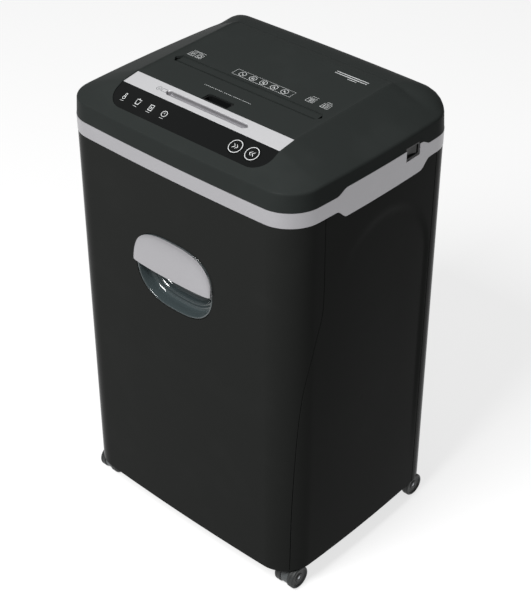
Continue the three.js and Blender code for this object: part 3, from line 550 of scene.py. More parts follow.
def carve(piece: bpy.types.Object, cutters: Sequence[bpy.types.Object]) -> bpy.types.Object:
    """Cuts pieces out of a closed piece and removes the cutters.

    Args:
        piece: The object to cut.
        cutters: Closed objects.
    Returns:
        The cut object.
    """
    for cutter in cutters:
        face_out(cutter)
        modify(piece, Mode.BOOLEAN, operation="DIFFERENCE", solver="EXACT", object=cutter)
    bake(piece)
    for cutter in cutters:
        bpy.data.objects.remove(cutter)
    return piece


def soften(piece: bpy.types.Object, width: float, angle: float = 32, segments: int = 2) -> bpy.types.Object:
    """Rounds a piece's sharp edges and shades it smooth.

    Args:
        piece: The object.
        width: Width of the rounding in millimetres.
        angle: Least angle in degrees of an edge that is rounded.
        segments: How many faces make the rounding.
    Returns:
        The same object.
    """
    for polygon in piece.data.polygons:
        polygon.use_smooth = True
    modify(
        piece,
        Mode.BEVEL,
        width=width * MM,
        segments=segments,
        limit_method="ANGLE",
        angle_limit=math.radians(angle),
        harden_normals=True,
        use_clamp_overlap=True,
        miter_outer="MITER_ARC",
    )
    return piece


def thicken(piece: bpy.types.Object, thickness: float) -> bpy.types.Object:
    """Gives a sheet a wall on its inner side."""
    modify(piece, Mode.SOLIDIFY, thickness=thickness * MM, offset=-1.0, use_even_offset=True)
    return bake(piece)


def prism(
    name: str, outline: Sequence[Flat], low: float, high: float, place: Place
) -> bpy.types.Object:
    """Extrudes an outline between two levels.

    Args:
        name: The piece's name.
        outline: Points on the outline's own axes.
        low: The lower level.
        high: The upper level.
        place: Turns the two axes and the level into x, y and z.
    Returns:
        The closed object.
    """
    n = len(outline)
    points = [place(u, v, w) for w in (low, high) for u, v in outline]
    faces = [(i, (i + 1) % n, n + (i + 1) % n, n + i) for i in range(n)]
    faces += [tuple(reversed(range(n))), tuple(range(n, 2 * n))]
    return face_out(make_object(name, points, faces))


def block(name: str, low: Point, high: Point) -> bpy.types.Object:
    """Makes a box that serves as a cutter."""
    outline = [(low[0], low[1]), (high[0], low[1]), (high[0], high[1]), (low[0], high[1])]
    return prism(name, outline, low[2], high[2], upright)


def lathe(name: str, profile: Sequence[Flat], place: Place, sides: int = 64) -> bpy.types.Object:
    """Turns a profile round an axis.

    Args:
        name: The piece's name.
        profile: Points as radius and place on the axis; a radius of 0 closes an end.
        place: Turns two radial axes and the axial place into x, y and z.
        sides: How many steps go round.
    Returns:
        The closed object.
    """
    rows = []
    for radius, level in profile:
        turns = [2 * math.pi * i / sides for i in range(sides)]
        rows.append([place(radius * math.cos(a), radius * math.sin(a), level) for a in turns])
    piece = grid(name, rows, closed=True)
    return face_out(piece, weld=1e-3)


def rounded_profile(corners: Sequence[tuple[float, float, float]], count: int = 4) -> list[Flat]:
    """Rounds the corners of a profile.

    Args:
        corners: Points as radius, place and rounding.
        count: How many steps each rounding takes.
    Returns:
        The finer profile.
    """
    points: list[Flat] = []
    for i, (r, x, size) in enumerate(corners):
        if size <= 0 or i in (0, len(corners) - 1):
            points.append((r, x))
            continue
        here = Vector((r, x))
        before, after = Vector(corners[i - 1][:2]), Vector(corners[i + 1][:2])
        start = here + (before - here).normalized() * size
        end = here + (after - here).normalized() * size
        for t in steps(count):
            p = start * (1 - t) ** 2 + here * 2 * t * (1 - t) + end * t**2
            points.append((p.x, p.y))
    return points


def arc(x: float, y: float, radius: float, start: float, end: float, count: int = 10) -> list[Flat]:
    """Gives points on an arc."""
    angles = [math.radians(mix(start, end, t)) for t in steps(count)]
    return [(x + radius * math.cos(a), y + radius * math.sin(a)) for a in angles]


def pointed(x: float, low: float, high: float, tip: float, middle: float, blunt: float) -> list[Flat]:
    """Gives a long slot's outline with blunted points at both ends.

    Args:
        x: Half the straight length.
        low: The front edge.
        high: The rear edge.
        tip: Half the length from point to point.
        middle: The line of the points.
        blunt: How far back from its tip each point is blunted.
    Returns:
        The points.
    """
    end = [(tip - blunt, middle - 1.2), (tip, middle), (tip - blunt, middle + 1.2)]
    right = [(x, low), *end, (x, high)]
    return right + [(-a, b) for a, b in reversed(right)]


def on_slope(y0: float, slope: float) -> Place:
    """Gives a sloping face's own axes: across, up the slope and out of the face.

    Args:
        y0: The y of the face's origin.
        slope: Rise per millimetre.
    Returns:
        A function that turns those axes into x, y and z.
    """
    angle = math.atan(slope)
    c, s = math.cos(angle), math.sin(angle)
    return lambda x, v, w: (x, y0 + v * c - w * s, HEAD.height(y0) + v * s + w * c)


def upright(u: float, v: float, w: float) -> Point:
    """Places an outline flat, with its level upwards."""
    return (u, v, w)


def sideways(u: float, v: float, w: float) -> Point:
    """Places an outline on edge, with its level along X."""
    return (w, u, v)


def facing(u: float, v: float, w: float) -> Point:
    """Places an outline on edge, with its level along Y."""
    return (u, w, v)


# ---------------------------------------------------------------- materials


@dataclass(frozen=True)
class Finish:
    """A moulded, painted or metal surface with grain, gloss variation and light wear.

    Attributes:
        name: The real material or process.
        colour: Its sRGB hex colour.
        roughness: Mean roughness.
        spread: How far the roughness varies.
        grain: Size in millimetres of the surface texture.
        relief: Height of that texture in micrometres.
        metallic: 1 for bare metal.
        coat: Weight of a clear coat.
        stretch: How much longer the texture is along X than across.
        flake: Share of lighter specks, as in a metallic lacquer.
        wear: Share of scuffed patches that are rougher and paler.
        clear: Share of light that passes through.
        ior: Index of refraction.
        specular: Specular level; 0.5 is the plain value for the index.
    """

    name: str
    colour: str
    roughness: float
    spread: float = 0.06
    grain: float = 0.8
    relief: float = 6.0
    metallic: float = 0.0
    coat: float = 0.0
    stretch: float = 1.0
    flake: float = 0.0
    wear: float = 0.3
    clear: float = 0.0
    ior: float = 1.5
    specular: float = 0.5

    def build(self) -> bpy.types.Material:
        """Makes the node material.

        Returns:
            The material, made once for each name.
        """
        if self.name in bpy.data.materials:
            return bpy.data.materials[self.name]
        material = bpy.data.materials.new(self.name)
        material.use_nodes = True
        tree = material.node_tree
        tree.nodes.clear()
        output = add_node(tree, "ShaderNodeOutputMaterial")
        shader = add_node(
            tree,
            "ShaderNodeBsdfPrincipled",
            {
                "Metallic": self.metallic,
                "IOR": self.ior,
                "Specular IOR Level": self.specular,
                "Coat Weight": self.coat,
                "Coat Roughness": 0.08,
                "Transmission Weight": self.clear,
            },
        )
        tree.links.new(shader.outputs["BSDF"], output.inputs["Surface"])
        place = add_node(tree, "ShaderNodeTexCoord")
        scaled = add_node(
            tree,
            "ShaderNodeMapping",
            {"Vector": place.outputs["Object"], "Scale": (1 / self.stretch, 1.0, 1.0)},
        )
        vector = scaled.outputs["Vector"]
        fine = add_node(
            tree,
            "ShaderNodeTexNoise",
            {"Vector": vector, "Scale": 1 / (self.grain * MM), "Detail": 3.0, "Roughness": 0.6},
        )
        broad = add_node(
            tree, "ShaderNodeTexNoise", {"Vector": vector, "Scale": 14.0, "Detail": 4.0, "Roughness": 0.55}
        )
        scuff = add_node(
            tree,
            "ShaderNodeMapRange",
            {"Value": broad.outputs["Fac"], "From Min": 0.52, "From Max": 0.75}
            | {"To Min": 0.0, "To Max": self.wear},
        )
        speck = add_node(
            tree,
            "ShaderNodeMapRange",
            {"Value": fine.outputs["Fac"], "From Min": 0.3, "From Max": 0.7, "To Min": -1.0, "To Max": 1.0},
        )
        vary = add_node(
            tree,
            "ShaderNodeMath",
            {0: speck.outputs["Result"], 1: self.spread * 0.5, 2: self.roughness},
            {"operation": "MULTIPLY_ADD"},
        )
        rough = add_node(
            tree,
            "ShaderNodeMath",
            {0: scuff.outputs["Result"], 1: self.spread * 2, 2: vary.outputs["Value"]},
            {"operation": "MULTIPLY_ADD", "use_clamp": True},
        )
        tree.links.new(rough.outputs["Value"], shader.inputs["Roughness"])
        base = linear(self.colour)
        pale = tuple(min(1.0, c * 1.25 + 0.004) for c in base[:3]) + (1.0,)
        tint = add_node(
            tree,
            "ShaderNodeMix",
            {"Factor": scuff.outputs["Result"], "A": base, "B": pale},
            {"data_type": "RGBA"},
        )
        colour = tint.outputs["Result"]
        if self.flake:
            sparkle = add_node(
                tree,
                "ShaderNodeMapRange",
                {"Value": fine.outputs["Fac"], "From Min": 0.4, "From Max": 0.72}
                | {"To Min": 0.0, "To Max": self.flake},
            )
            bright = tuple(min(1.0, c * 1.35) for c in base[:3]) + (1.0,)
            colour = add_node(
                tree,
                "ShaderNodeMix",
                {"Factor": sparkle.outputs["Result"], "A": colour, "B": bright},
                {"data_type": "RGBA"},
            ).outputs["Result"]
        tree.links.new(colour, shader.inputs["Base Color"])
        bump = add_node(
            tree,
            "ShaderNodeBump",
            {"Strength": 0.6, "Distance": self.relief * 1e-6, "Height": fine.outputs["Fac"]},
        )
        tree.links.new(bump.outputs["Normal"], shader.inputs["Normal"])
        return material


def add_node(
    tree: bpy.types.NodeTree, kind: str, inputs: dict | None = None, settings: dict | None = None
) -> bpy.types.Node:
    """Adds a node with its settings, values and links.

    Args:
        tree: The node tree.
        kind: The node's type.
        inputs: Values or output sockets by input name or number.
        settings: Properties of the node.
    Returns:
        The node.
    """
    node = tree.nodes.new(kind)
    for key, value in (settings or {}).items():
        setattr(node, key, value)
    for key, value in (inputs or {}).items():
        if isinstance(key, int):
            socket = node.inputs[key]
        else:
            socket = next(s for s in node.inputs if s.name == key and s.enabled)
        if isinstance(value, bpy.types.NodeSocket):
            tree.links.new(value, socket)
        else:
            socket.default_value = value
    return node


# Black ABS with a polished mould face: a dark, slightly wet look on the tall panels.
CABINET_ABS = Finish("polished_black_abs", "#232423", 0.2, 0.05, 1.1, 2.0, wear=0.2, specular=0.012)
# Charcoal ABS from a fine spark-eroded mould: an even satin sheen on the cover.
COVER_ABS = Finish("spark_eroded_charcoal_abs", "#272a29", 0.4, 0.08, 0.5, 9.0, specular=0.02)
# Black acrylic sheet: sharp, deep reflections on the control panel.
PANEL_ACRYLIC = Finish("gloss_black_acrylic", "#101111", 0.1, 0.03, 2.0, 0.8, specular=0.15)
# Silver metallic lacquer over ABS: soft bright paint with fine flake under a clear coat.
SILVER_LACQUER = Finish("silver_metallic_lacquer", "#a3a2a5", 0.34, 0.08, 0.35, 2.0, 0.6, 0.1, flake=0.35)
# Brushed and anodised aluminium: long fine lines along the strip.
BRUSHED_ALUMINIUM = Finish("brushed_anodised_aluminium", "#d2d2d4", 0.36, 0.12, 0.35, 2.5, 0.5, stretch=40.0)
# Smoke-grey polycarbonate: a clear, cool pocket that the bin shows through.
SMOKE_POLYCARBONATE = Finish(
    "smoke_grey_polycarbonate", "#485254", 0.07, 0.03, 2.5, 0.8, wear=0.15, clear=0.4, ior=1.58
)
# Recycled polypropylene: a dull dark grey bin.
BIN_POLYPROPYLENE = Finish("grained_polypropylene", "#3a3d3e", 0.55, 0.1, 0.9, 14.0)
# Moulded nylon: matt black wheels with scuffed treads.
WHEEL_NYLON = Finish("moulded_black_nylon", "#232525", 0.5, 0.14, 0.7, 12.0, wear=0.8)
# Moulded nylon: dark grey caster hoods.
HOOD_NYLON = Finish("moulded_grey_nylon", "#45494a", 0.46, 0.1, 0.8, 10.0, wear=0.5)
# Moulded nylon: the deep black switch.
SWITCH_NYLON = Finish("moulded_jet_nylon", "#0e0f0f", 0.34, 0.06, 0.6, 5.0)
# Zinc-plated pressed steel: a mottled cool grey sheet.
ZINC_STEEL = Finish("zinc_plated_steel", "#9fa2a6", 0.36, 0.16, 1.6, 4.0, 1.0, stretch=3.0, wear=0.6)
# Ground and hardened steel: darker, with turning lines.
TOOL_STEEL = Finish("ground_tool_steel", "#77797c", 0.3, 0.14, 0.3, 4.0, 1.0, wear=0.5)
# Sintered bronze: warm, porous and dull.
SINTERED_BRONZE = Finish("sintered_bronze", "#a07b3c", 0.45, 0.12, 0.4, 12.0, 1.0)
# Moulded acetal: waxy off-white gears.
GEAR_ACETAL = Finish("moulded_acetal", "#d8d6cc", 0.42, 0.08, 0.9, 6.0)
# Lacquered glass-fibre board: deep green with a faint weave.
BOARD_LACQUER = Finish("lacquered_glass_fibre", "#1f5a34", 0.3, 0.08, 0.6, 6.0)
# Clear acrylic: a bright light guide.
CLEAR_ACRYLIC = Finish("clear_acrylic", "#e6eeee", 0.06, 0.02, 2.5, 0.6, wear=0.1, clear=0.9, ior=1.49)
# Screen-printed ink: thin pale grey marks.
PRINT_INK = Finish("screen_print_ink", "#c4c6c6", 0.5, 0.06, 0.4, 3.0, wear=0.5)


@dataclass(frozen=True)
class Look:
    """A finish and the record's slot that it stands for."""

    finish: Finish
    slot: str | None = None

    def dress(self, piece: bpy.types.Object) -> bpy.types.Object:
        """Gives a piece this finish.

        Args:
            piece: The object.
        Returns:
            The same object.
        """
        piece.data.materials.clear()
        piece.data.materials.append(self.finish.build())
        return piece


CABINET_LOOK = Look(CABINET_ABS, "cabinet_black")
COVER_LOOK = Look(COVER_ABS, "cover_black")
PANEL_LOOK = Look(PANEL_ACRYLIC, "panel_gloss")
LACQUER_LOOK = Look(SILVER_LACQUER, "silver_lacquer")
STRIP_LOOK = Look(BRUSHED_ALUMINIUM, "brushed_aluminium")
SMOKE_LOOK = Look(SMOKE_POLYCARBONATE, "smoke_window")
WHEEL_LOOK = Look(WHEEL_NYLON, "wheel_black")
HOOD_LOOK = Look(HOOD_NYLON, "hood_grey")
SWITCH_LOOK = Look(SWITCH_NYLON, "switch_black")
PRINT_LOOK = Look(PRINT_INK)


# ---------------------------------------------------------------- assembly helpers


def finish_piece(piece: bpy.types.Object, look: Look, body: str, *nodes: str) -> bpy.types.Object:
    """Dresses a piece, puts it on its body and lets it stand for its nodes.

    Args:
        piece: The object.
        look: Its finish and slot.
        body: The body it rides on.
        nodes: The nodes that it replaces.
    Returns:
        The same object.
    """
    look.dress(piece)
    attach(piece, body)
    if nodes:
        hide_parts(*nodes)
    return piece


def wall_sheet(
    name: str,
    start: Callable[[float], float],
    end: Callable[[float], float],
    low: float,
    high: Callable[[float], float],
    columns: int,
    sink: Callable[[float, float], float] | None = None,
) -> bpy.types.Object:
    """Makes a sheet of the cabinet's wall between two edges.

    Args:
        name: The piece's name.
        start: Distance round the outline of the first edge at a height.
        end: Distance round the outline of the last edge at a height.
        low: Height of the lower edge.
        high: Height of the upper edge at a y.
        columns: How many steps go along the wall.
        sink: Depth of a hollow at a y and a height.
    Returns:
        The sheet, facing out.
    """
    rows = []
    nominal = CABINET.top - 0.3
    levels = [low + (nominal - low) * t for t in steps(84)]
    for level in levels:
        a, b = start(level), end(level)
        row = []
        for t in steps(columns):
            s = mix(a, b, t)
            x, y = CABINET.at(s)
            z = mix(low, high(y), (level - low) / (nominal - low))
            if sink:
                x, y = CABINET.at(s, sink(y, z))
            row.append((x, y, z))
        rows.append(row)
    return grid(name, rows)


# ---------------------------------------------------------------- cabinet


@dataclass
class CabinetShell:
    """The side panels, rear panel and trim band."""

    size: Cabinet = CABINET
    hollow_y: float = 12.0
    hollow_z: float = 430.0
    hollow_half: float = 97.0
    hollow_rise: float = 106.0
    hollow_depth: float = 1.9
    vent_count: int = 7
    vent_pitch: float = 8.0
    vent_drop: float = 49.5
    vent_half: float = 50.0
    vent_radius: float = 2.0
    inlet_x: float = 118.0
    inlet_up: float = 57.0
    inlet_half: Flat = (15.0, 12.0)
    pieces: list[bpy.types.Object] = field(default_factory=list)

    def hollow(self, y: float, z: float) -> float:
        """Gives the depth of the arched hollow in the side panel.

        Args:
            y: Place along.
            z: Height.
        Returns:
            How far the wall is sunk there.
        """
        across = (y - self.hollow_y) / self.hollow_half
        up = max(0.0, (z - self.hollow_z) / self.hollow_rise)
        edge = (1 - math.hypot(across, up)) * self.hollow_half
        fade = smoothstep(y, -85, 55) * smoothstep(z, 60, 260)
        return self.hollow_depth * smoothstep(edge, 0, 9) * fade

    def side(self, sign: int) -> bpy.types.Object:
        """Builds a side panel.

        Args:
            sign: 1 for the right side and -1 for the left.
        Returns:
            The panel.
        """
        gap = self.size.door_gap / 2
        sheet = wall_sheet(
            f"side_panel_{'right' if sign > 0 else 'left'}_shell",
            lambda z: self.size.along(self.size.seam(z)) + gap,
            lambda z: self.size.along(self.size.rear_seam) - 0.1,
            self.size.foot,
            lambda y: self.size.band_low(y) - 0.3,
            92,
            self.hollow,
        )
        if sign < 0:
            sheet.data.transform(Matrix.Diagonal((-1, 1, 1, 1)))
            sheet.data.flip_normals()
        return soften(thicken(sheet, self.size.wall - 0.1), 0.7)

    def rear(self) -> bpy.types.Object:
        """Builds the rear panel with its vents and inlet opening.

        Returns:
            The panel.
        """
        # Fault: Cabinet.at() stops at the middle of the rear, so only the right half is made.
        turn = self.size.along(self.size.rear_seam) + 0.5
        half = self.size.half_round
        sheet = wall_sheet(
            "rear_panel_shell",
            lambda z: turn,
            lambda z: 2 * half - turn,
            self.size.foot,
            lambda y: self.size.band_low(y) - 0.3,
            150,
        )
        cutters = []
        for i in range(self.vent_count):
            z = self.size.top - self.vent_drop - self.vent_pitch * i
            outline = arc(self.vent_half, z, self.vent_radius, -90, 90, 6)
            outline += arc(-self.vent_half, z, self.vent_radius, 90, 270, 6)
            cutters.append(prism("vent", outline, 130, 200, facing))
        x, z = self.inlet_x, self.size.foot + self.inlet_up
        across, up = self.inlet_half
        cutters.append(block("inlet_hole", (x - across, 130, z - up), (x + across, 200, z + up)))
        return soften(carve(thicken(sheet, self.size.wall - 0.1), cutters), 0.5)

    def band(self) -> bpy.types.Object:
        """Builds the trim band with its wide side grips and switch notch.

        Returns:
            The band.
        """
        columns = 480
        half = self.size.half_round
        rows = []
        for share in steps(8):
            row = []
            for i in range(columns):
                x, y = self.size.at(mix(-half, half, i / columns), -self.size.band_proud)
                low, high = self.size.band_low(y), self.size.band_high(y)
                row.append((x, y, mix(low, high, share)))
            rows.append(row)
        shell = thicken(grid("trim_band_shell", rows, closed=True), self.size.wall - 0.1)
        return soften(carve(shell, [PowerSwitch().notch(0)]), 0.6)

    def build(self) -> None:
        """Builds and dresses the shell."""
        for sign, side in ((1, "right"), (-1, "left")):
            finish_piece(self.side(sign), CABINET_LOOK, Body.CABINET.value, f"{side}_side_panel")
        finish_piece(self.rear(), CABINET_LOOK, Body.CABINET.value, "rear_panel")
        finish_piece(self.band(), LACQUER_LOOK, Body.CABINET.value, "trim_band")
        for x in (-150, 150):
            for z in (70, 300, 540):
                self.screw(x, z)

    def screw(self, x: float, z: float) -> None:
        """Adds a cross-head screw to the rear panel.

        Args:
            x: Place across.
            z: Height.
        """
        face = self.size.bowed(x, self.size.depth / 2)[1]
        profile = rounded_profile([(0, -1, 0), (3.4, -1, 0), (3.4, 0.5, 0.4), (2.2, 1.1, 0.6), (0, 1.2, 0)])
        name = f"rear_screw_{'l' if x < 0 else 'r'}_{int(z)}"
        head = lathe(name, profile, lambda u, v, w: (x + u, face + w, z + v), 32)
        cross = [block("slot", (x - 1.9, face + 0.4, z - 0.35), (x + 1.9, face + 3, z + 0.35))]
        cross.append(block("slot", (x - 0.35, face + 0.4, z - 1.9), (x + 0.35, face + 3, z + 1.9)))
        finish_piece(soften(carve(head, cross), 0.08), Look(ZINC_STEEL, "steel"), Body.CABINET.value)


# ---------------------------------------------------------------- head


@dataclass
class TopCover:
    """The sloped cover, from its lip over the band up to the deck."""

    size: Head = HEAD
    cabinet: Cabinet = CABINET
    columns: int = 48
    corner_steps: int = 12
    side_steps: int = 60
    ridge: float = 2.3

    def places(self) -> list[tuple[int, float, int]]:
        """Lists the boundary's stations.

        Returns:
            Part, share and side for each, round from the middle of the front.
        """
        half = [(0, t) for t in steps(self.columns // 2)]
        half += [(1, t) for t in steps(self.corner_steps)[1:]]
        half += [(2, t) for t in steps(self.side_steps)[1:]]
        half += [(3, t) for t in steps(self.corner_steps)[1:]]
        half += [(4, t) for t in steps(self.columns // 2)[1:]]
        right = [(part, t, 1) for part, t in half]
        left = [(part, t, -1) for part, t in reversed(half[1:-1])]
        return right + left

    def ring(self, loop: Loop, level: Callable[[float], float], bow: bool) -> list[Point]:
        """Makes a ring of points.

        Args:
            loop: The outline.
            level: Height at a y.
            bow: Whether the outline swells as the cabinet does.
        Returns:
            The points.
        """
        points = []
        for part, share, sign in self.places():
            x, y = loop.point(part, share)
            if bow:
                x, y = self.cabinet.bowed(x, y)
            points.append((sign * x, y, level(y)))
        return points

    def slope(self, outer: list[Point], inner: list[Point], shares: list[float]) -> list[list[Point]]:
        """Runs rings from the outer edge up to the deck, rolled over at the rear.

        Args:
            outer: The ring at the outer edge.
            inner: The ring at the deck.
            shares: How far up each ring lies.
        Returns:
            The rings.
        """
        rings = []
        for t in shares:
            ring = []
            for q, p in zip(outer, inner):
                roll = smoothstep(p[1], self.size.rear - self.size.rear_radius, self.size.rear)
                turn = t * math.pi / 2
                flat = mix(t, 1 - math.cos(turn), roll)
                rise = mix(t, math.sin(turn), roll)
                ring.append((mix(q[0], p[0], flat), mix(q[1], p[1], flat), mix(q[2], p[2], rise)))
            rings.append(ring)
        return rings

    def blend(self, a: list[Point], b: list[Point], c: list[Point], count: int) -> list[list[Point]]:
        """Rounds the corner between three rings.

        Args:
            a: The ring where the rounding starts.
            b: The ring on the corner.
            c: The ring where it ends.
            count: How many steps.
        Returns:
            The rings, both ends included.
        """
        rings = []
        for t in steps(count):
            weights = ((1 - t) ** 2, 2 * t * (1 - t), t * t)
            rings.append(
                [
                    tuple(sum(w * v[k] for w, v in zip(weights, trio)) for k in range(3))
                    for trio in zip(a, b, c)
                ]
            )
        return rings

    def wall(self, z: float) -> Loop:
        """Gives the outer wall's outline at a height, which leans in as it rises."""
        return self.cabinet.loop(-self.size.lip + 2.4 * (z - self.cabinet.top) / 34.5)

    def sheet(self) -> bpy.types.Object:
        """Builds the outer skin.

        Returns:
            The open sheet, facing out.
        """
        s, cab = self.size, self.cabinet
        low = [self.ring(self.wall(cab.band_top), lambda y: cab.band_high(y) + 0.3, True)]
        levels = (602, 608, 612, s.edge - s.edge_round)
        low += [self.ring(self.wall(z), lambda y, z=z: z, True) for z in levels]
        corner = self.ring(self.wall(s.edge), lambda y: s.edge, True)
        deck, bead = (self.ring(s.deck(inset), s.crest, False) for inset in (0, 1.3))
        inner = self.ring(s.deck(self.ridge), s.height, False)
        shares = [0.055, 0.15, 0.28, 0.42, 0.56, 0.7, 0.82, 0.92, 0.97]
        start, *middle, near = self.slope(corner, deck, shares)
        rings = low[:-1] + self.blend(low[-1], corner, start, 7)
        rings += middle + self.blend(near, deck, bead, 3) + [inner]
        count = len(rings[0])
        points = [p for ring in rings for p in ring]
        faces = []
        for j in range(len(rings) - 1):
            for i in range(count):
                a, b = j * count + i, j * count + (i + 1) % count
                faces.append((a, b, b + count, a + count))
        base = (len(rings) - 1) * count
        half_columns = self.columns // 2
        rows = 2 * self.corner_steps + self.side_steps
        right = [base + half_columns + j for j in range(rows + 1)]
        left = [base + count - half_columns - j for j in range(rows + 1)]
        loop = s.deck(self.ridge)
        front = [base + (count - half_columns + k) % count for k in range(self.columns + 1)]
        rear = [base + half_columns + rows + self.columns - k for k in range(self.columns + 1)]
        previous = front
        stations = self.places()
        for j in range(1, rows):
            part, share, _ = stations[half_columns + j]
            x, y = loop.point(part, share)
            row = [left[j]]
            for k in range(1, self.columns):
                row.append(len(points))
                points.append((mix(-x, x, k / self.columns), y, s.height(y)))
            row.append(right[j])
            faces += [(previous[k], previous[k + 1], row[k + 1], row[k]) for k in range(self.columns)]
            previous = row
        faces += [(previous[k], previous[k + 1], rear[k + 1], rear[k]) for k in range(self.columns)]
        return make_object("top_cover_shell", points, faces)

    def cutters(self) -> list[bpy.types.Object]:
        """Makes what is cut out of the cover.

        Returns:
            The cutters.
        """
        s = self.size
        panel, strip = on_slope(s.strip_front, s.panel_slope), on_slope(s.strip_front, s.strip_slope)
        sink = -s.plate - s.gap
        made = [prism("panel_pocket", Controls().panel_outline(s.gap), sink, 9, panel)]
        made.append(prism("strip_pocket", Controls().strip_outline(s.gap), sink, 9, strip))
        made.append(prism("disc_hole", Controls().disc_outline(0.0), -14, 9, strip))
        for x in s.button_xs:
            round_hole = arc(x, -s.control_line, s.button_radius + 0.5, 0, 360, 48)[1:]
            made.append(prism("button_hole", round_hole, -14, 9, panel))
        made.append(prism("paper_hole", self.paper_outline(), 617, 660, upright))
        made.append(prism("recess_hole", self.recess_outline(0.3), 617, 660, upright))
        made.append(PowerSwitch().notch(0))
        return made

    def paper_outline(self) -> list[Flat]:
        """Gives the paper slot's outline, with pointed and slightly rounded ends.

        Returns:
            The points.
        """
        s = self.size
        middle = (s.paper_front + s.paper_rear) / 2
        x, tip = s.paper_half, s.paper_half + s.slot_point
        return pointed(x, s.paper_front, s.paper_rear, tip, middle, 0.8)

    def recess_outline(self, grow: float) -> list[Flat]:
        """Gives the finger recess's outline.

        Args:
            grow: How much larger than the cup.
        Returns:
            The points.
        """
        s = self.size
        x, low = s.recess_half + grow, s.recess_front - grow
        high = s.recess_front + s.recess_width + grow
        return [(-x, low), (x, low), (x, high - 3), (x - 3, high), (3 - x, high), (-x, high - 3)]

    def build(self) -> None:
        """Builds and dresses the cover."""
        shell = thicken(self.sheet(), self.size.thickness)
        soften(carve(shell, self.cutters()), 0.45, angle=38)
        finish_piece(shell, COVER_LOOK, Body.CABINET.value, "top_cover")


@dataclass
class Controls:
    """The control panel, the silver strip, the push buttons and the printed marks."""

    size: Head = HEAD

    @property
    def panel_length(self) -> float:
        """Length of the panel down its slope."""
        return self.size.panel_depth * math.hypot(1, self.size.panel_slope)

    @property
    def strip_length(self) -> float:
        """Length of the strip down its slope."""
        return self.size.strip_depth * math.hypot(1, self.size.strip_slope)

    def panel_outline(self, grow: float) -> list[Flat]:
        """Gives the control panel's outline.

        Args:
            grow: How much larger than the panel.
        Returns:
            The points.
        """
        half = self.size.half - 1.5 + grow
        low = -self.panel_length + 1 - grow
        r = self.size.front_radius
        top = [(half, grow - 0.6), (-half, grow - 0.6)]
        return arc(half - r, low + r, r, -90, 0, 14) + top + arc(r - half, low + r, r, 180, 270, 14)

    def strip_outline(self, grow: float) -> list[Flat]:
        """Gives the strip's outline.

        Args:
            grow: How much larger than the strip.
        Returns:
            The points.
        """
        half = self.size.half - 1.5 + grow
        low, high = 0.3 - grow, self.strip_length - 0.3 + grow
        return [(-half, low), (half, low), (half, high), (-half, high)]

    def disc_outline(self, grow: float) -> list[Flat]:
        """Gives the disc slot's outline, with rounded and pointed ends.

        Args:
            grow: How much larger than the slot.
        Returns:
            The points.
        """
        middle = self.strip_length / 2 + 0.5
        half, tip, side = self.size.disc_half, self.size.disc_half + 4.5 + grow, 4.6 + grow
        return pointed(half, middle - side, middle + side, tip, middle, 0.7)

    def build(self) -> None:
        """Builds and dresses the controls."""
        s = self.size
        panel, strip = on_slope(s.strip_front, s.panel_slope), on_slope(s.strip_front, s.strip_slope)
        sheet = prism("control_panel_sheet", self.panel_outline(0), -s.plate, 0, panel)
        holes = [
            prism("hole", arc(x, -s.control_line, s.button_radius + 0.4, 0, 360, 64)[1:], -9, 9, panel)
            for x in s.button_xs
        ]
        sheet = soften(carve(sheet, holes), 0.35, segments=3)
        finish_piece(sheet, PANEL_LOOK, Body.CABINET.value, "control_panel")
        bar = prism("disc_strip_bar", self.strip_outline(0), -s.plate, 0, strip)
        hole = [prism("hole", self.disc_outline(0.0), -9, 9, strip)]
        finish_piece(soften(carve(bar, hole), 0.35, segments=3), STRIP_LOOK, Body.CABINET.value, "deck_strip")
        rows = []
        for grow, level in ((-0.9, -12), (-0.9, -1.0), (-0.5, -0.5), (0.1, -0.5), (0.1, -12)):
            rows.append([strip(x, v, level) for x, v in self.disc_outline(grow)])
        liner = face_out(grid("disc_slot_liner", rows + rows[:1], closed=True), weld=0.01)
        finish_piece(soften(liner, 0.2), LACQUER_LOOK, Body.CABINET.value)
        for number, x in enumerate(s.button_xs, 1):
            self.button(number, x, panel)

    def button(self, number: int, x: float, panel: Place) -> None:
        """Builds a push button with its printed ring and arrow.

        Args:
            number: 1 or 2.
            x: Place across.
            panel: The panel's own axes.
        """
        s = self.size
        r, v = s.button_radius, -s.control_line
        profile = rounded_profile(
            [(0, -12.6, 0), (3, -12.6, 0.3), (3, -6, 0.3), (r, -6, 0.4)]
            + [(r, 0.6, 0.6), (r * 0.6, 0.45, 1.5), (0, 0.25, 0)]
        )
        cap = lathe(f"button_cap_{number}", profile, lambda a, b, w: panel(x + a, v + b, w), 72)
        body = f"button_{number}"
        finish_piece(cap, PANEL_LOOK, body, f"push_button_{number}")
        ring = Mark(f"button_ring_{number}", x, v, panel, 0.56, 0.05)
        ring.ring(0, 0, r - 1.1, 0.9)
        ring.finish(body)
        arrow = Mark(f"button_arrow_{number}", x, v, panel, 0.36, 0.05)
        side = 1 if number == 1 else -1
        for shift in (-2.2, 1.8):
            arrow.line([(shift - side * 1.6, -3), (shift + side * 1.6, 0), (shift - side * 1.6, 3)], 0.8)
        arrow.finish(body)


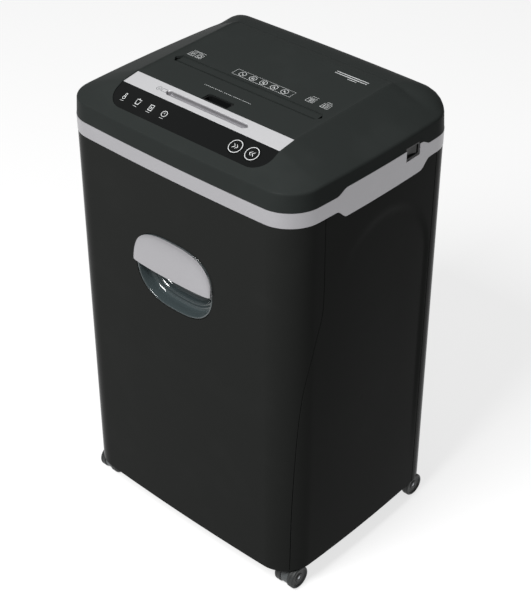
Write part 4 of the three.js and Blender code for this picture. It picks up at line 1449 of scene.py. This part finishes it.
class Mark:
    """A thin printed pictogram that lies on a face."""

    def __init__(
        self, name: str, x: float, v: float, place: Place, level: float, thick: float
    ) -> None:
        """Starts an empty mark.

        Args:
            name: The piece's name.
            x: Its middle across.
            v: Its middle up the face.
            place: The face's own axes.
            level: How far above the face it lies.
            thick: Thickness of the ink.
        """
        self.name, self.x, self.v = name, x, v
        self.place, self.level, self.thick = place, level, thick
        self.points: list[Point] = []
        self.faces: list[tuple[int, ...]] = []

    def strip(self, left: list[Flat], right: list[Flat], closed: bool) -> None:
        """Adds a ribbon between two lines.

        Args:
            left: One line.
            right: The other line, with as many points.
            closed: Whether it runs round.
        """
        n = len(left)
        base = len(self.points)
        for w in (self.level, self.level + self.thick):
            for a, b in zip(left, right):
                self.points.append(self.place(self.x + a[0], self.v + a[1], w))
                self.points.append(self.place(self.x + b[0], self.v + b[1], w))
        for i in range(n if closed else n - 1):
            j = (i + 1) % n
            a, b, c, d = base + 2 * i, base + 2 * i + 1, base + 2 * j + 1, base + 2 * j
            up = 2 * n
            self.faces += [(a, b, c, d), (a + up, d + up, c + up, b + up)]
            self.faces += [(a, d, d + up, a + up), (b, b + up, c + up, c)]
        if not closed:
            for i in (0, n - 1):
                a, b = base + 2 * i, base + 2 * i + 1
                self.faces.append((a, b, b + 2 * n, a + 2 * n))

    def ring(self, x: float, v: float, radius: float, width: float, sides: int = 40) -> None:
        """Adds a ring.

        Args:
            x: Its middle across.
            v: Its middle up the face.
            radius: Its outer radius.
            width: Its stroke.
            sides: How many steps go round.
        """
        outer = arc(x, v, radius, 0, 360, sides)[1:]
        inner = arc(x, v, radius - width, 0, 360, sides)[1:]
        self.strip(outer, inner, True)

    def line(self, path: list[Flat], width: float, closed: bool = False) -> None:
        """Adds a stroke with mitred corners.

        Args:
            path: The stroke's middle line.
            width: Its width.
            closed: Whether it runs round.
        """
        left, right = [], []
        n = len(path)
        for i, here in enumerate(path):
            before = path[(i - 1) % n] if closed or i else here
            after = path[(i + 1) % n] if closed or i < n - 1 else here
            a = Vector((here[0] - before[0], here[1] - before[1]))
            b = Vector((after[0] - here[0], after[1] - here[1]))
            a = a.normalized() if a.length else b.normalized()
            b = b.normalized() if b.length else a
            side = (Vector((-a.y, a.x)) + Vector((-b.y, b.x))).normalized()
            reach = width / 2 / max(0.4, side.dot(Vector((-a.y, a.x))))
            left.append((here[0] + side.x * reach, here[1] + side.y * reach))
            right.append((here[0] - side.x * reach, here[1] - side.y * reach))
        self.strip(left, right, closed)

    def rectangle(self, x: float, v: float, w: float, h: float, width: float) -> None:
        """Adds a rectangle's outline."""
        self.line([(x, v), (x + w, v), (x + w, v + h), (x, v + h)], width, closed=True)

    def finish(self, body: str = Body.CABINET.value) -> None:
        """Makes the mark and puts it on a body."""
        finish_piece(face_out(make_object(self.name, self.points, self.faces)), PRINT_LOOK, body)


@dataclass
class PrintedMarks:
    """Generic pictograms on the deck and the panel."""

    size: Head = HEAD
    lift: float = 0.04
    ink: float = 0.05

    def on_deck(self, name: str, x: float, y: float) -> Mark:
        """Starts a mark on the deck."""
        return Mark(name, x, 0.0, on_slope(y, self.size.slope), self.lift, self.ink)

    def on_panel(self, name: str, x: float) -> Mark:
        """Starts a mark on the control panel."""
        place = on_slope(self.size.strip_front, self.size.panel_slope)
        return Mark(name, x, -self.size.control_line, place, self.lift, self.ink)

    def indicators(self) -> None:
        """Prints the four indicator pictograms."""
        places = enumerate(self.size.light_xs, 1)
        hot, full, page, power = (self.on_panel(f"indicator_{k}", x) for k, x in places)
        hot.ring(0, -2.4, 2.4, 0.8)
        hot.line([(-1, -0.4), (-1, 4.2), (1, 4.2), (1, -0.4)], 0.7)
        full.line([(-3.4, 2.4), (-2.4, -3.6), (2.4, -3.6), (3.4, 2.4)], 0.8)
        full.line([(-4, 3.4), (4, 3.4)], 0.8)
        full.line([(-1, 4.6), (1, 4.6)], 0.7)
        page.rectangle(-2.8, -4, 5.6, 8, 0.8)
        page.line([(-1.2, -1.4), (1.3, 0), (-1.2, 1.4)], 0.8)
        power.ring(0, 0, 4.4, 0.8)
        power.line([(0, -0.6), (0, 2.2)], 0.9)
        for mark in (hot, full, page, power):
            mark.line([(-3.2, -7), (3.2, -7)], 0.5)
            mark.finish()

    def deck(self) -> None:
        """Prints the pictograms on the deck."""
        row = self.on_deck("caution_row", 10.5, -3.0)
        row.rectangle(-47, -6.6, 94, 13.2, 0.35)
        for k in range(5):
            x = (k - 2) * 17.2
            row.ring(x, 0, 5.2, 0.7)
            row.line([(x - 3.1, 3.1), (x + 3.1, -3.1)], 0.6)
        row.line([(-36.5, 1.6), (-32.4, -1.4)], 1.0)
        row.rectangle(-18.8, -1.6, 3.2, 3.4, 0.5)
        row.ring(0, 0, 1.9, 0.6, 24)
        row.line([(15.6, -1.8), (17.2, 2), (18.8, -1.8)], 0.6)
        row.line([(32.6, 0), (36.2, 0)], 1.2)
        row.finish()
        feed = self.on_deck("feed_icons", -103.0, -4.0)
        for x in (-6.0, 6.5):
            feed.rectangle(x - 4.4, -4.4, 8.8, 8.8, 0.5)
        feed.line([(-9, 1.8), (-3, 1.8)], 0.9)
        feed.line([(-8.2, -0.4), (-3.8, -0.4)], 0.7)
        feed.line([(-8.2, -2.2), (-5, -2.2)], 0.7)
        feed.ring(6.5, 0, 2.9, 0.7, 28)
        feed.line([(-10, 8.4), (10, 8.4)], 0.6)
        feed.line([(-10, 6.8), (6, 6.8)], 0.45)
        feed.finish()
        load = self.on_deck("sheet_icons", 94.0, 2.0)
        for x in (-11.6, 11.6):
            load.rectangle(x - 5.6, -5.0, 11.2, 10.0, 0.5)
        for k in range(4):
            load.line([(-15.6 + 0.8 * k, 2.9 - 1.9 * k), (-7.8 + 0.2 * k, 2.9 - 1.9 * k)], 0.7)
        load.rectangle(8.6, -2.8, 6, 5.6, 0.6)
        load.line([(8.6, -0.2), (14.6, -0.2)], 0.6)
        load.line([(-16, 8.2), (-6, 8.2)], 0.5)
        load.line([(7, 8.2), (15, 8.2)], 0.5)
        load.finish()
        emblem = self.on_deck("deck_emblem", 84.0, 73.0)
        for k, length in enumerate((25, 25, 14)):
            v = 4.4 - 4.0 * k
            x = -25 if k < 2 else -2
            emblem.line([(x, v), (x + (2 * length if k < 2 else length), v)], 1.5 if k < 2 else 1.1)
        emblem.finish()
        guide = self.on_deck("feed_line", -3.0, -51.5)
        for k in range(26):
            guide.line([(-39 + 3.0 * k, 0), (-39 + 3.0 * k + (1.9 if k % 5 else 1.0), 0)], 0.8)
        guide.finish()
        disc = Mark(
            "disc_icon",
            -72.5,
            Controls().strip_length / 2 + 0.5,
            on_slope(self.size.strip_front, self.size.strip_slope),
            self.lift,
            self.ink,
        )
        disc.ring(-6.5, 0, 3.6, 0.5, 32)
        disc.ring(-6.5, 0, 1.2, 0.4, 20)
        disc.rectangle(-1.2, -2.6, 7.6, 5.2, 0.5)
        disc.finish()
        bpy.data.objects["disc_icon"].data.materials[0] = HOOD_NYLON.build()

    def build(self) -> None:
        """Prints every mark."""
        self.indicators()
        self.deck()


# ---------------------------------------------------------------- power switch


@dataclass
class PowerSwitch:
    """The rocker switch in its notch on the right side."""

    y: float = 59.5
    length: float = 27.0
    height: float = 18.0
    lift: float = 1.5
    depth: float = 22.0
    wall: float = 2.5
    tilt: float = 8.0

    @property
    def z(self) -> float:
        """Height of the switch's middle."""
        return CABINET.band_top + self.lift

    @property
    def x(self) -> float:
        """Place of the rocker's axis."""
        return CABINET.width / 2 - 4

    def notch(self, grow: float) -> bpy.types.Object:
        """Makes the cutter for the notch.

        Args:
            grow: How much larger than the notch.
        Returns:
            The cutter.
        """
        half, h = self.length / 2 + grow, self.height / 2 + grow
        low = (CABINET.width / 2 - self.depth, self.y - half, self.z - h)
        return block("switch_notch", low, (230, self.y + half, self.z + h))

    def bezel(self) -> bpy.types.Object:
        """Builds the frame round the rocker.

        Returns:
            The bezel.
        """
        y, h = self.length / 2 - 0.3, self.height / 2 - 0.3
        face = CABINET.bowed(CABINET.width / 2, self.y + y)[0] - 0.5
        back = CABINET.width / 2 - self.depth + 0.3
        body = block("switch_bezel_frame", (back, self.y - y, self.z - h), (face, self.y + y, self.z + h))
        low = (self.x - 9, self.y - y + self.wall, self.z - h + self.wall)
        well = block("well", low, (230, self.y + y - self.wall, self.z + h - self.wall))
        return soften(carve(body, [well]), 0.8, segments=3)

    def rocker(self) -> bpy.types.Object:
        """Builds the rocker with a dished face and a tactile line.

        Returns:
            The rocker.
        """
        half = self.length / 2 - 0.3 - self.wall - 1
        h = self.height / 2 - 0.3 - self.wall - 0.5
        angle = -math.radians(self.tilt)
        profile = [(-4, -half + 1)]
        for t in steps(14):
            v = mix(-half, half, t)
            profile.append((4 + 1.0 * (abs(v) / half) ** 1.5, v))
        profile.append((-4, half - 1))
        c, s = math.cos(angle), math.sin(angle)

        def place(u: float, v: float, w: float) -> Point:
            """Tilts the paddle about its axis."""
            return (self.x + u * c - v * s, self.y + u * s + v * c, self.z + w)

        body = prism("switch_rocker_paddle", profile, -h, h, place)
        floor, out, wide = 4.05 + 0.9 * 0.6, 6, 0.5
        grooves = [
            prism("groove", [(floor, v), (out, v), (out, v + wide), (floor, v + wide)], -h + 2, h - 2, place)
            for v in (-6.2, 5.8)
        ]
        return soften(carve(body, grooves), 0.5, segments=3)

    def build(self) -> None:
        """Builds and dresses the switch."""
        finish_piece(self.bezel(), SWITCH_LOOK, Body.CABINET.value, "switch_bezel")
        finish_piece(self.rocker(), SWITCH_LOOK, Body.ROCKER.value, "switch_rocker")


# ---------------------------------------------------------------- door and handle


@dataclass
class Door:
    """The front door, the handle shield and the clear pocket."""

    cabinet: Cabinet = CABINET
    handle: Handle = HANDLE

    def front(self, x: float) -> float:
        """Gives the front face's y."""
        return self.cabinet.bowed(x, -self.cabinet.depth / 2)[1]

    def panel(self) -> bpy.types.Object:
        """Builds the door with its handle opening.

        Returns:
            The door.
        """
        cab, gap = self.cabinet, self.cabinet.door_gap / 2
        sheet = wall_sheet(
            "front_door_shell",
            lambda z: -cab.along(cab.seam(z)) + gap,
            lambda z: cab.along(cab.seam(z)) - gap,
            cab.foot,
            lambda y: cab.top - cab.door_gap,
            150,
        )
        opening = prism("opening", self.handle.outline(0, 128), -200, -100, facing)
        door = carve(thicken(sheet, cab.wall - 0.1), [opening])
        return soften(door, 0.9, segments=3)

    def shield(self) -> bpy.types.Object:
        """Builds the satin shield that bulges over the upper half of the opening.

        Returns:
            The shield.
        """
        h = self.handle
        columns, rows = 72, 28
        low = h.line - 0.5
        sheet = []
        half, rise = h.half - 0.2, h.rise - 0.2
        for j in range(rows + 1):
            row = []
            for i in range(columns + 1):
                angle = math.pi / 2 * (-1 + 2 * i / columns)
                x = half * math.sin(angle)
                arch = max(0.0, 1 - abs(math.sin(angle)) ** h.fullness) ** (1 / h.fullness)
                top = h.line + rise * arch
                t = j / rows
                z = mix(low, max(top, low + 2.5), t)
                swell = (h.bulge - h.rim) * max(0.0, math.cos(angle)) ** 0.5
                swell = h.rim + swell * math.cos(t * math.pi / 2) ** 0.7
                row.append((x, self.front(x) - 0.3 - swell, z))
            sheet.append(row)
        return soften(thicken(grid("handle_shield_skin", sheet), h.shield), 1.5, angle=45, segments=5)

    def pocket(self) -> bpy.types.Object:
        """Builds the clear pocket with its rim, step and ridge.

        Returns:
            The pocket.
        """
        h = self.handle
        front = self.front(0) + self.cabinet.wall + h.setback
        back = self.front(0) + h.pocket
        w = h.pocket_wall
        rim = self.front(0) + 1.4
        inner = [(0.9, rim), (1.3, rim - 0.5), (2.4, rim - 0.5), (3.0, rim + 0.6)]
        inner += [(3.2, front + 4), (3.6, front + 8), (5.4, front + 10.5), (8.2, front + 11.5)]
        inner += [(10.2, front + 10.6), (11.8, front + 11.4), (13.0, front + 14)]
        inner += [(13.8, back - 4), (15.4, back - 1.2), (18.5, back)]
        outer = [(16.0, back + w), (12.6, back + w - 0.6), (11.2, back - 3)]
        outer += [(10.4, front + 14.5), (6.4, front + 13), (3.0, front + 11.5), (1.4, front + 8)]
        outer += [(1.0, front + 2.2), (-5.0, front + 2.0), (-5.8, front + 1.2)]
        outer += [(-5.8, front + 0.6), (-5.0, front), (0.6, front - 0.1)]
        rows = [[(x, y, z) for x, z in h.outline(inset, 128)] for inset, y in inner]
        back_rows = [[(x, y, z) for x, z in h.outline(inset, 128)] for inset, y in outer]
        points = [p for row in rows + back_rows for p in row]
        n, count = 128, len(rows) + len(back_rows)
        faces = []
        for j in range(count):
            if j == len(rows) - 1:
                continue
            k = (j + 1) % count
            faces += [(j * n + i, j * n + (i + 1) % n, k * n + (i + 1) % n, k * n + i) for i in range(n)]
        last = len(rows) - 1
        faces.append(tuple(last * n + i for i in range(n)))
        faces.append(tuple((last + 1) * n + i for i in reversed(range(n))))
        return face_out(make_object("window_pocket", points, faces))

    def build(self) -> None:
        """Builds and dresses the door."""
        finish_piece(self.panel(), CABINET_LOOK, Body.DRAWER.value, "front_door")
        finish_piece(self.shield(), LACQUER_LOOK, Body.DRAWER.value, "handle_shield")
        finish_piece(self.pocket(), SMOKE_LOOK, Body.DRAWER.value, "window_scoop")


# ---------------------------------------------------------------- casters


@dataclass
class TwinCaster:
    """One caster: hood, axle and two wheels."""

    corner: str
    sx: int
    sy: int
    size: Caster = CASTER

    def wheel(self, side: int) -> bpy.types.Object:
        """Builds a wheel with a dished, ribbed face and a grooved tread.

        Args:
            side: The direction its face looks along X.
        Returns:
            The wheel.
        """
        c = self.size
        r, w, start = c.radius, c.wheel, c.hood / 2 + c.gap
        end = start + w
        profile = rounded_profile(
            [
                (c.bore, start, 0),
                (r - 1, start, 0.2),
                (r, start + 1, 0.4),
                (r, start + 4.4, 0.15),
                (r - 0.5, start + 4.7, 0.1),
                (r - 0.5, start + 5.3, 0.1),
                (r, start + 5.6, 0.15),
                (r, end - 1.5, 0.7),
                (r - 1.4, end, 0.7),
                (r - 3.3, end, 0.4),
                (r - 4.1, end - 1.8, 0.5),
                (6.6, end - 2.2, 0.4),
                (6.0, end - 1.0, 0.4),
                (3.4, end - 0.8, 0.3),
                (c.bore, end - 1.2, 0.1),
                (c.bore, start, 0),
            ],
            3,
        )
        x, y = self.sx * c.x, self.sy * (c.stem_y + c.trail)

        def place(a: float, b: float, level: float) -> Point:
            """Lays the wheel's axis along X."""
            return (x + side * level, y + a, r + b)

        return lathe(f"caster_wheel_{self.corner}_{'r' if side > 0 else 'l'}", profile, place, 96)

    def hood(self) -> bpy.types.Object:
        """Builds the hood: a fender round the wheels, a swivel boss and a stem.

        Returns:
            The hood.
        """
        c = self.size
        x, y, r = self.sx * c.x, self.sy * c.stem_y, c.radius
        wheel_y = y + self.sy * c.trail
        half = c.hood / 2
        disc = [(wheel_y + a, b + r) for a, b in arc(0, 0, r - 1.5, 0, 360, 72)[1:]]
        fender = prism(f"caster_fender_{self.corner}", disc, x - half, x + half, sideways)
        hole = [(wheel_y + a, b + r) for a, b in arc(0, 0, c.bore, 0, 360, 24)[1:]]
        bore = prism("bore", hole, x - 9, x + 9, sideways)
        low, high = min(y, wheel_y) - 4, max(y, wheel_y) + 4
        neck = block("neck", (x - half, low, r), (x + half, high, 31.8))

        def stem(a: float, b: float, w: float) -> Point:
            """Stands a turned shape on the swivel's axis."""
            return (x + a, y + b, w)

        boss = lathe("boss", [(0, 32.8), (10, 32.8), (10, 34.8), (5, 34.8), (5, 55), (0, 55)], stem, 48)
        skirt = lathe("skirt", [(0, 31.5), (8.5, 31.5), (9.4, 33.0), (0, 33.0)], stem, 48)
        for part in (neck, boss, skirt):
            modify(fender, Mode.BOOLEAN, operation="UNION", solver="EXACT", object=face_out(part))
        bake(fender)
        for part in (neck, boss, skirt):
            bpy.data.objects.remove(part)
        return soften(carve(fender, [bore]), 0.5)

    def build(self) -> None:
        """Builds and dresses the caster."""
        finish_piece(self.hood(), HOOD_LOOK, f"caster_{self.corner}", f"caster_hood_{self.corner}")
        for side, word in ((-1, "left"), (1, "right")):
            body, node = f"wheel_{self.corner}_{word[0]}", f"wheel_{self.corner}_{word}"
            finish_piece(self.wheel(side), WHEEL_LOOK, body, node)


# ---------------------------------------------------------------- carried-over nodes


@dataclass(frozen=True)
class InnerWorks:
    """Finishes and softened edges for the nodes that keep their own mesh."""

    bevel: float = 0.35

    def look(self, slot: str) -> Finish:
        """Finds the finish for a record slot.

        Args:
            slot: The slot's name.
        Returns:
            The finish.
        """
        return {
            "cabinet_black": CABINET_ABS,
            "cover_black": COVER_ABS,
            "panel_gloss": PANEL_ACRYLIC,
            "silver_lacquer": SILVER_LACQUER,
            "brushed_aluminium": BRUSHED_ALUMINIUM,
            "smoke_window": SMOKE_POLYCARBONATE,
            "bin_grey": BIN_POLYPROPYLENE,
            "wheel_black": WHEEL_NYLON,
            "hood_grey": HOOD_NYLON,
            "switch_black": SWITCH_NYLON,
            "steel": ZINC_STEEL,
            "tool_steel": TOOL_STEEL,
            "bronze": SINTERED_BRONZE,
            "gear_nylon": GEAR_ACETAL,
            "board_green": BOARD_LACQUER,
            "clear_guide": CLEAR_ACRYLIC,
        }[slot]

    def build(self) -> None:
        """Dresses each node in its slot's finish and rounds its edges."""
        slots = {part["node"]: part["material_slot"] for part in frame["record"]["subparts"]}
        for name, piece in frame["nodes"].items():
            if piece.hide_render:
                continue
            Look(self.look(slots[name]), slots[name]).dress(piece)
            soften(piece, self.bevel, angle=38)


# ---------------------------------------------------------------- studio


@dataclass(frozen=True)
class Studio:
    """Floor, light and camera: grey paper under a painted pool of light, white round the object, that falls
    off to pale grey far from it.
    """

    azimuth: float = 42.31
    elevation: float = 35.23
    roll: float = 0.09
    distance: float = 2017.9
    target: Point = (0.0, 0.0, 288.0)
    slide: Flat = (8.5, 24.4)
    lens: float = 89.47
    floor_half: float = 30000.0
    # Reach in metres and glow, near and far, of the painted pool of light on the floor.
    painted_pool_reach: Flat = (1.9, 4.2)
    painted_pool_strength: Flat = (0.72, 0.28)
    world_strength: float = 0.3
    aim: Point = (0, 0, 0.35)

    def camera(self) -> None:
        """Places the camera."""
        az, el, roll = (math.radians(v) for v in (self.azimuth, self.elevation, self.roll))
        back = Vector((math.sin(az) * math.cos(el), -math.cos(az) * math.cos(el), math.sin(el)))
        right = Vector((math.cos(az), math.sin(az), 0))
        up = back.cross(right)
        across = right * math.cos(roll) + up * math.sin(roll)
        above = up * math.cos(roll) - right * math.sin(roll)
        place = Vector(self.target) + back * self.distance + across * self.slide[0] + above * self.slide[1]
        data = bpy.data.cameras.new("camera")
        data.lens, data.sensor_width, data.clip_end = self.lens, 36.0, 50.0
        camera = bpy.data.objects.new("camera", data)
        turn = Matrix((across, above, back)).transposed()
        camera.matrix_world = Matrix.Translation(place * MM) @ turn.to_4x4()
        bpy.context.scene.collection.objects.link(camera)
        bpy.context.scene.camera = camera

    def background(self, tree: bpy.types.NodeTree) -> bpy.types.NodeSocket:
        """Picks out the rays that show the background: the camera's, reflections and clear pieces.

        Args:
            tree: The node tree.
        Returns:
            1 for those rays and 0 for the rays that carry light.
        """
        path = add_node(tree, "ShaderNodeLightPath")
        rays = path.outputs["Is Camera Ray"]
        for name in ("Is Glossy Ray", "Is Transmission Ray"):
            pair = {0: rays, 1: path.outputs[name]}
            both = add_node(tree, "ShaderNodeMath", pair, {"operation": "MAXIMUM"})
            rays = both.outputs["Value"]
        return rays

    def floor(self) -> None:
        """Makes a pale floor that runs past the view, whitened round the object by a painted pool of light.
        """
        rows = [[(x * self.floor_half, y * self.floor_half, 0.0) for x in (-1, 1)] for y in (-1, 1)]
        floor = grid("studio_floor", rows)
        material = bpy.data.materials.new("white_paper_floor")
        material.use_nodes = True
        tree = material.node_tree
        tree.nodes.clear()
        output = add_node(tree, "ShaderNodeOutputMaterial")
        paper = add_node(tree, "ShaderNodeBsdfDiffuse", {"Color": linear("#959595")})
        place = add_node(tree, "ShaderNodeTexCoord")
        reach = add_node(tree, "ShaderNodeVectorMath", {0: place.outputs["Object"]}, {"operation": "LENGTH"})
        limits = {"Value": reach.outputs["Value"]}
        limits |= {"From Min": self.painted_pool_reach[0], "From Max": self.painted_pool_reach[1]}
        limits |= {"To Min": self.painted_pool_strength[0], "To Max": self.painted_pool_strength[1]}
        # The lift is painted light: a glowing pool, brightest round the object and fading with distance. It
        # shows only in the background's rays, so it whitens the paper and lights nothing.
        painted_light_pool = add_node(tree, "ShaderNodeMapRange", limits, {"interpolation_type": "SMOOTHSTEP"})
        shown = {0: self.background(tree), 1: painted_light_pool.outputs["Result"]}
        strength = add_node(tree, "ShaderNodeMath", shown, {"operation": "MULTIPLY"})
        # Painted pool of light: this glow whitens the floor round the object for the camera and in
        # reflections.
        lift = add_node(tree, "ShaderNodeEmission", {"Strength": strength.outputs["Value"]})
        both = add_node(tree, "ShaderNodeAddShader", {0: paper.outputs["BSDF"], 1: lift.outputs["Emission"]})
        tree.links.new(both.outputs["Shader"], output.inputs["Surface"])
        floor.data.materials.append(material)
        floor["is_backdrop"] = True

    def lamp(self, name: str, place: Point, size: Flat, power: float) -> None:
        """Adds a soft area lamp aimed at the object.

        Args:
            name: The lamp's name.
            place: Where it stands, in metres.
            size: Its two sides, in metres.
            power: Its power in watts.
        """
        data = bpy.data.lights.new(name, "AREA")
        data.shape, data.size, data.size_y, data.energy = "RECTANGLE", size[0], size[1], power
        lamp = bpy.data.objects.new(name, data)
        lamp.location = place
        aim = Vector(self.aim) - Vector(place)
        lamp.rotation_mode = "QUATERNION"
        lamp.rotation_quaternion = aim.to_track_quat("-Z", "Y")
        bpy.context.scene.collection.objects.link(lamp)

    def light(self) -> None:
        """Lights the object from a pale world and soft lamps."""
        world = bpy.data.worlds.new("studio_world")
        world.use_nodes = True
        tree = world.node_tree
        tree.nodes.clear()
        output = add_node(tree, "ShaderNodeOutputWorld")
        white = {"Color": (1.0, 1.0, 1.0, 1.0), "Strength": self.world_strength}
        sky = add_node(tree, "ShaderNodeBackground", white)
        tree.links.new(sky.outputs["Background"], output.inputs["Surface"])
        bpy.context.scene.world = world
        self.lamp("key_softbox", (0.05, -1.8, 2.45), (1.0, 1.0), 96)
        self.lamp("top_softbox", (-0.2, 0.1, 3.0), (1.0, 1.0), 6)

    def build(self) -> None:
        """Sets the stage."""
        bpy.context.scene.view_settings.view_transform = "Standard"
        self.floor()
        self.light()
        self.camera()


# ---------------------------------------------------------------- main


def corners(box: tuple[Vector, Vector]) -> list[list[float]]:
    """Turns a box into plain lists."""
    return [list(corner) for corner in box]


def main() -> None:
    """Builds the scene piece by piece."""
    logging.basicConfig(level=logging.INFO, format="%(name)s: %(message)s")
    cad_box = corners(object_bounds())
    assemblies = [CabinetShell(), TopCover(), Controls(), PrintedMarks(), PowerSwitch(), Door()]
    places = (("fl", -1, -1), ("fr", 1, -1), ("rl", -1, 1), ("rr", 1, 1))
    assemblies += [TwinCaster(corner, sx, sy) for corner, sx, sy in places]
    assemblies += [InnerWorks(), Studio()]
    for assembly in assemblies:
        assembly.build()
        log.info("built %s", type(assembly).__name__)
    {"cad": cad_box, "visual": corners(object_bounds())}


if __name__ == "__main__":
    main()
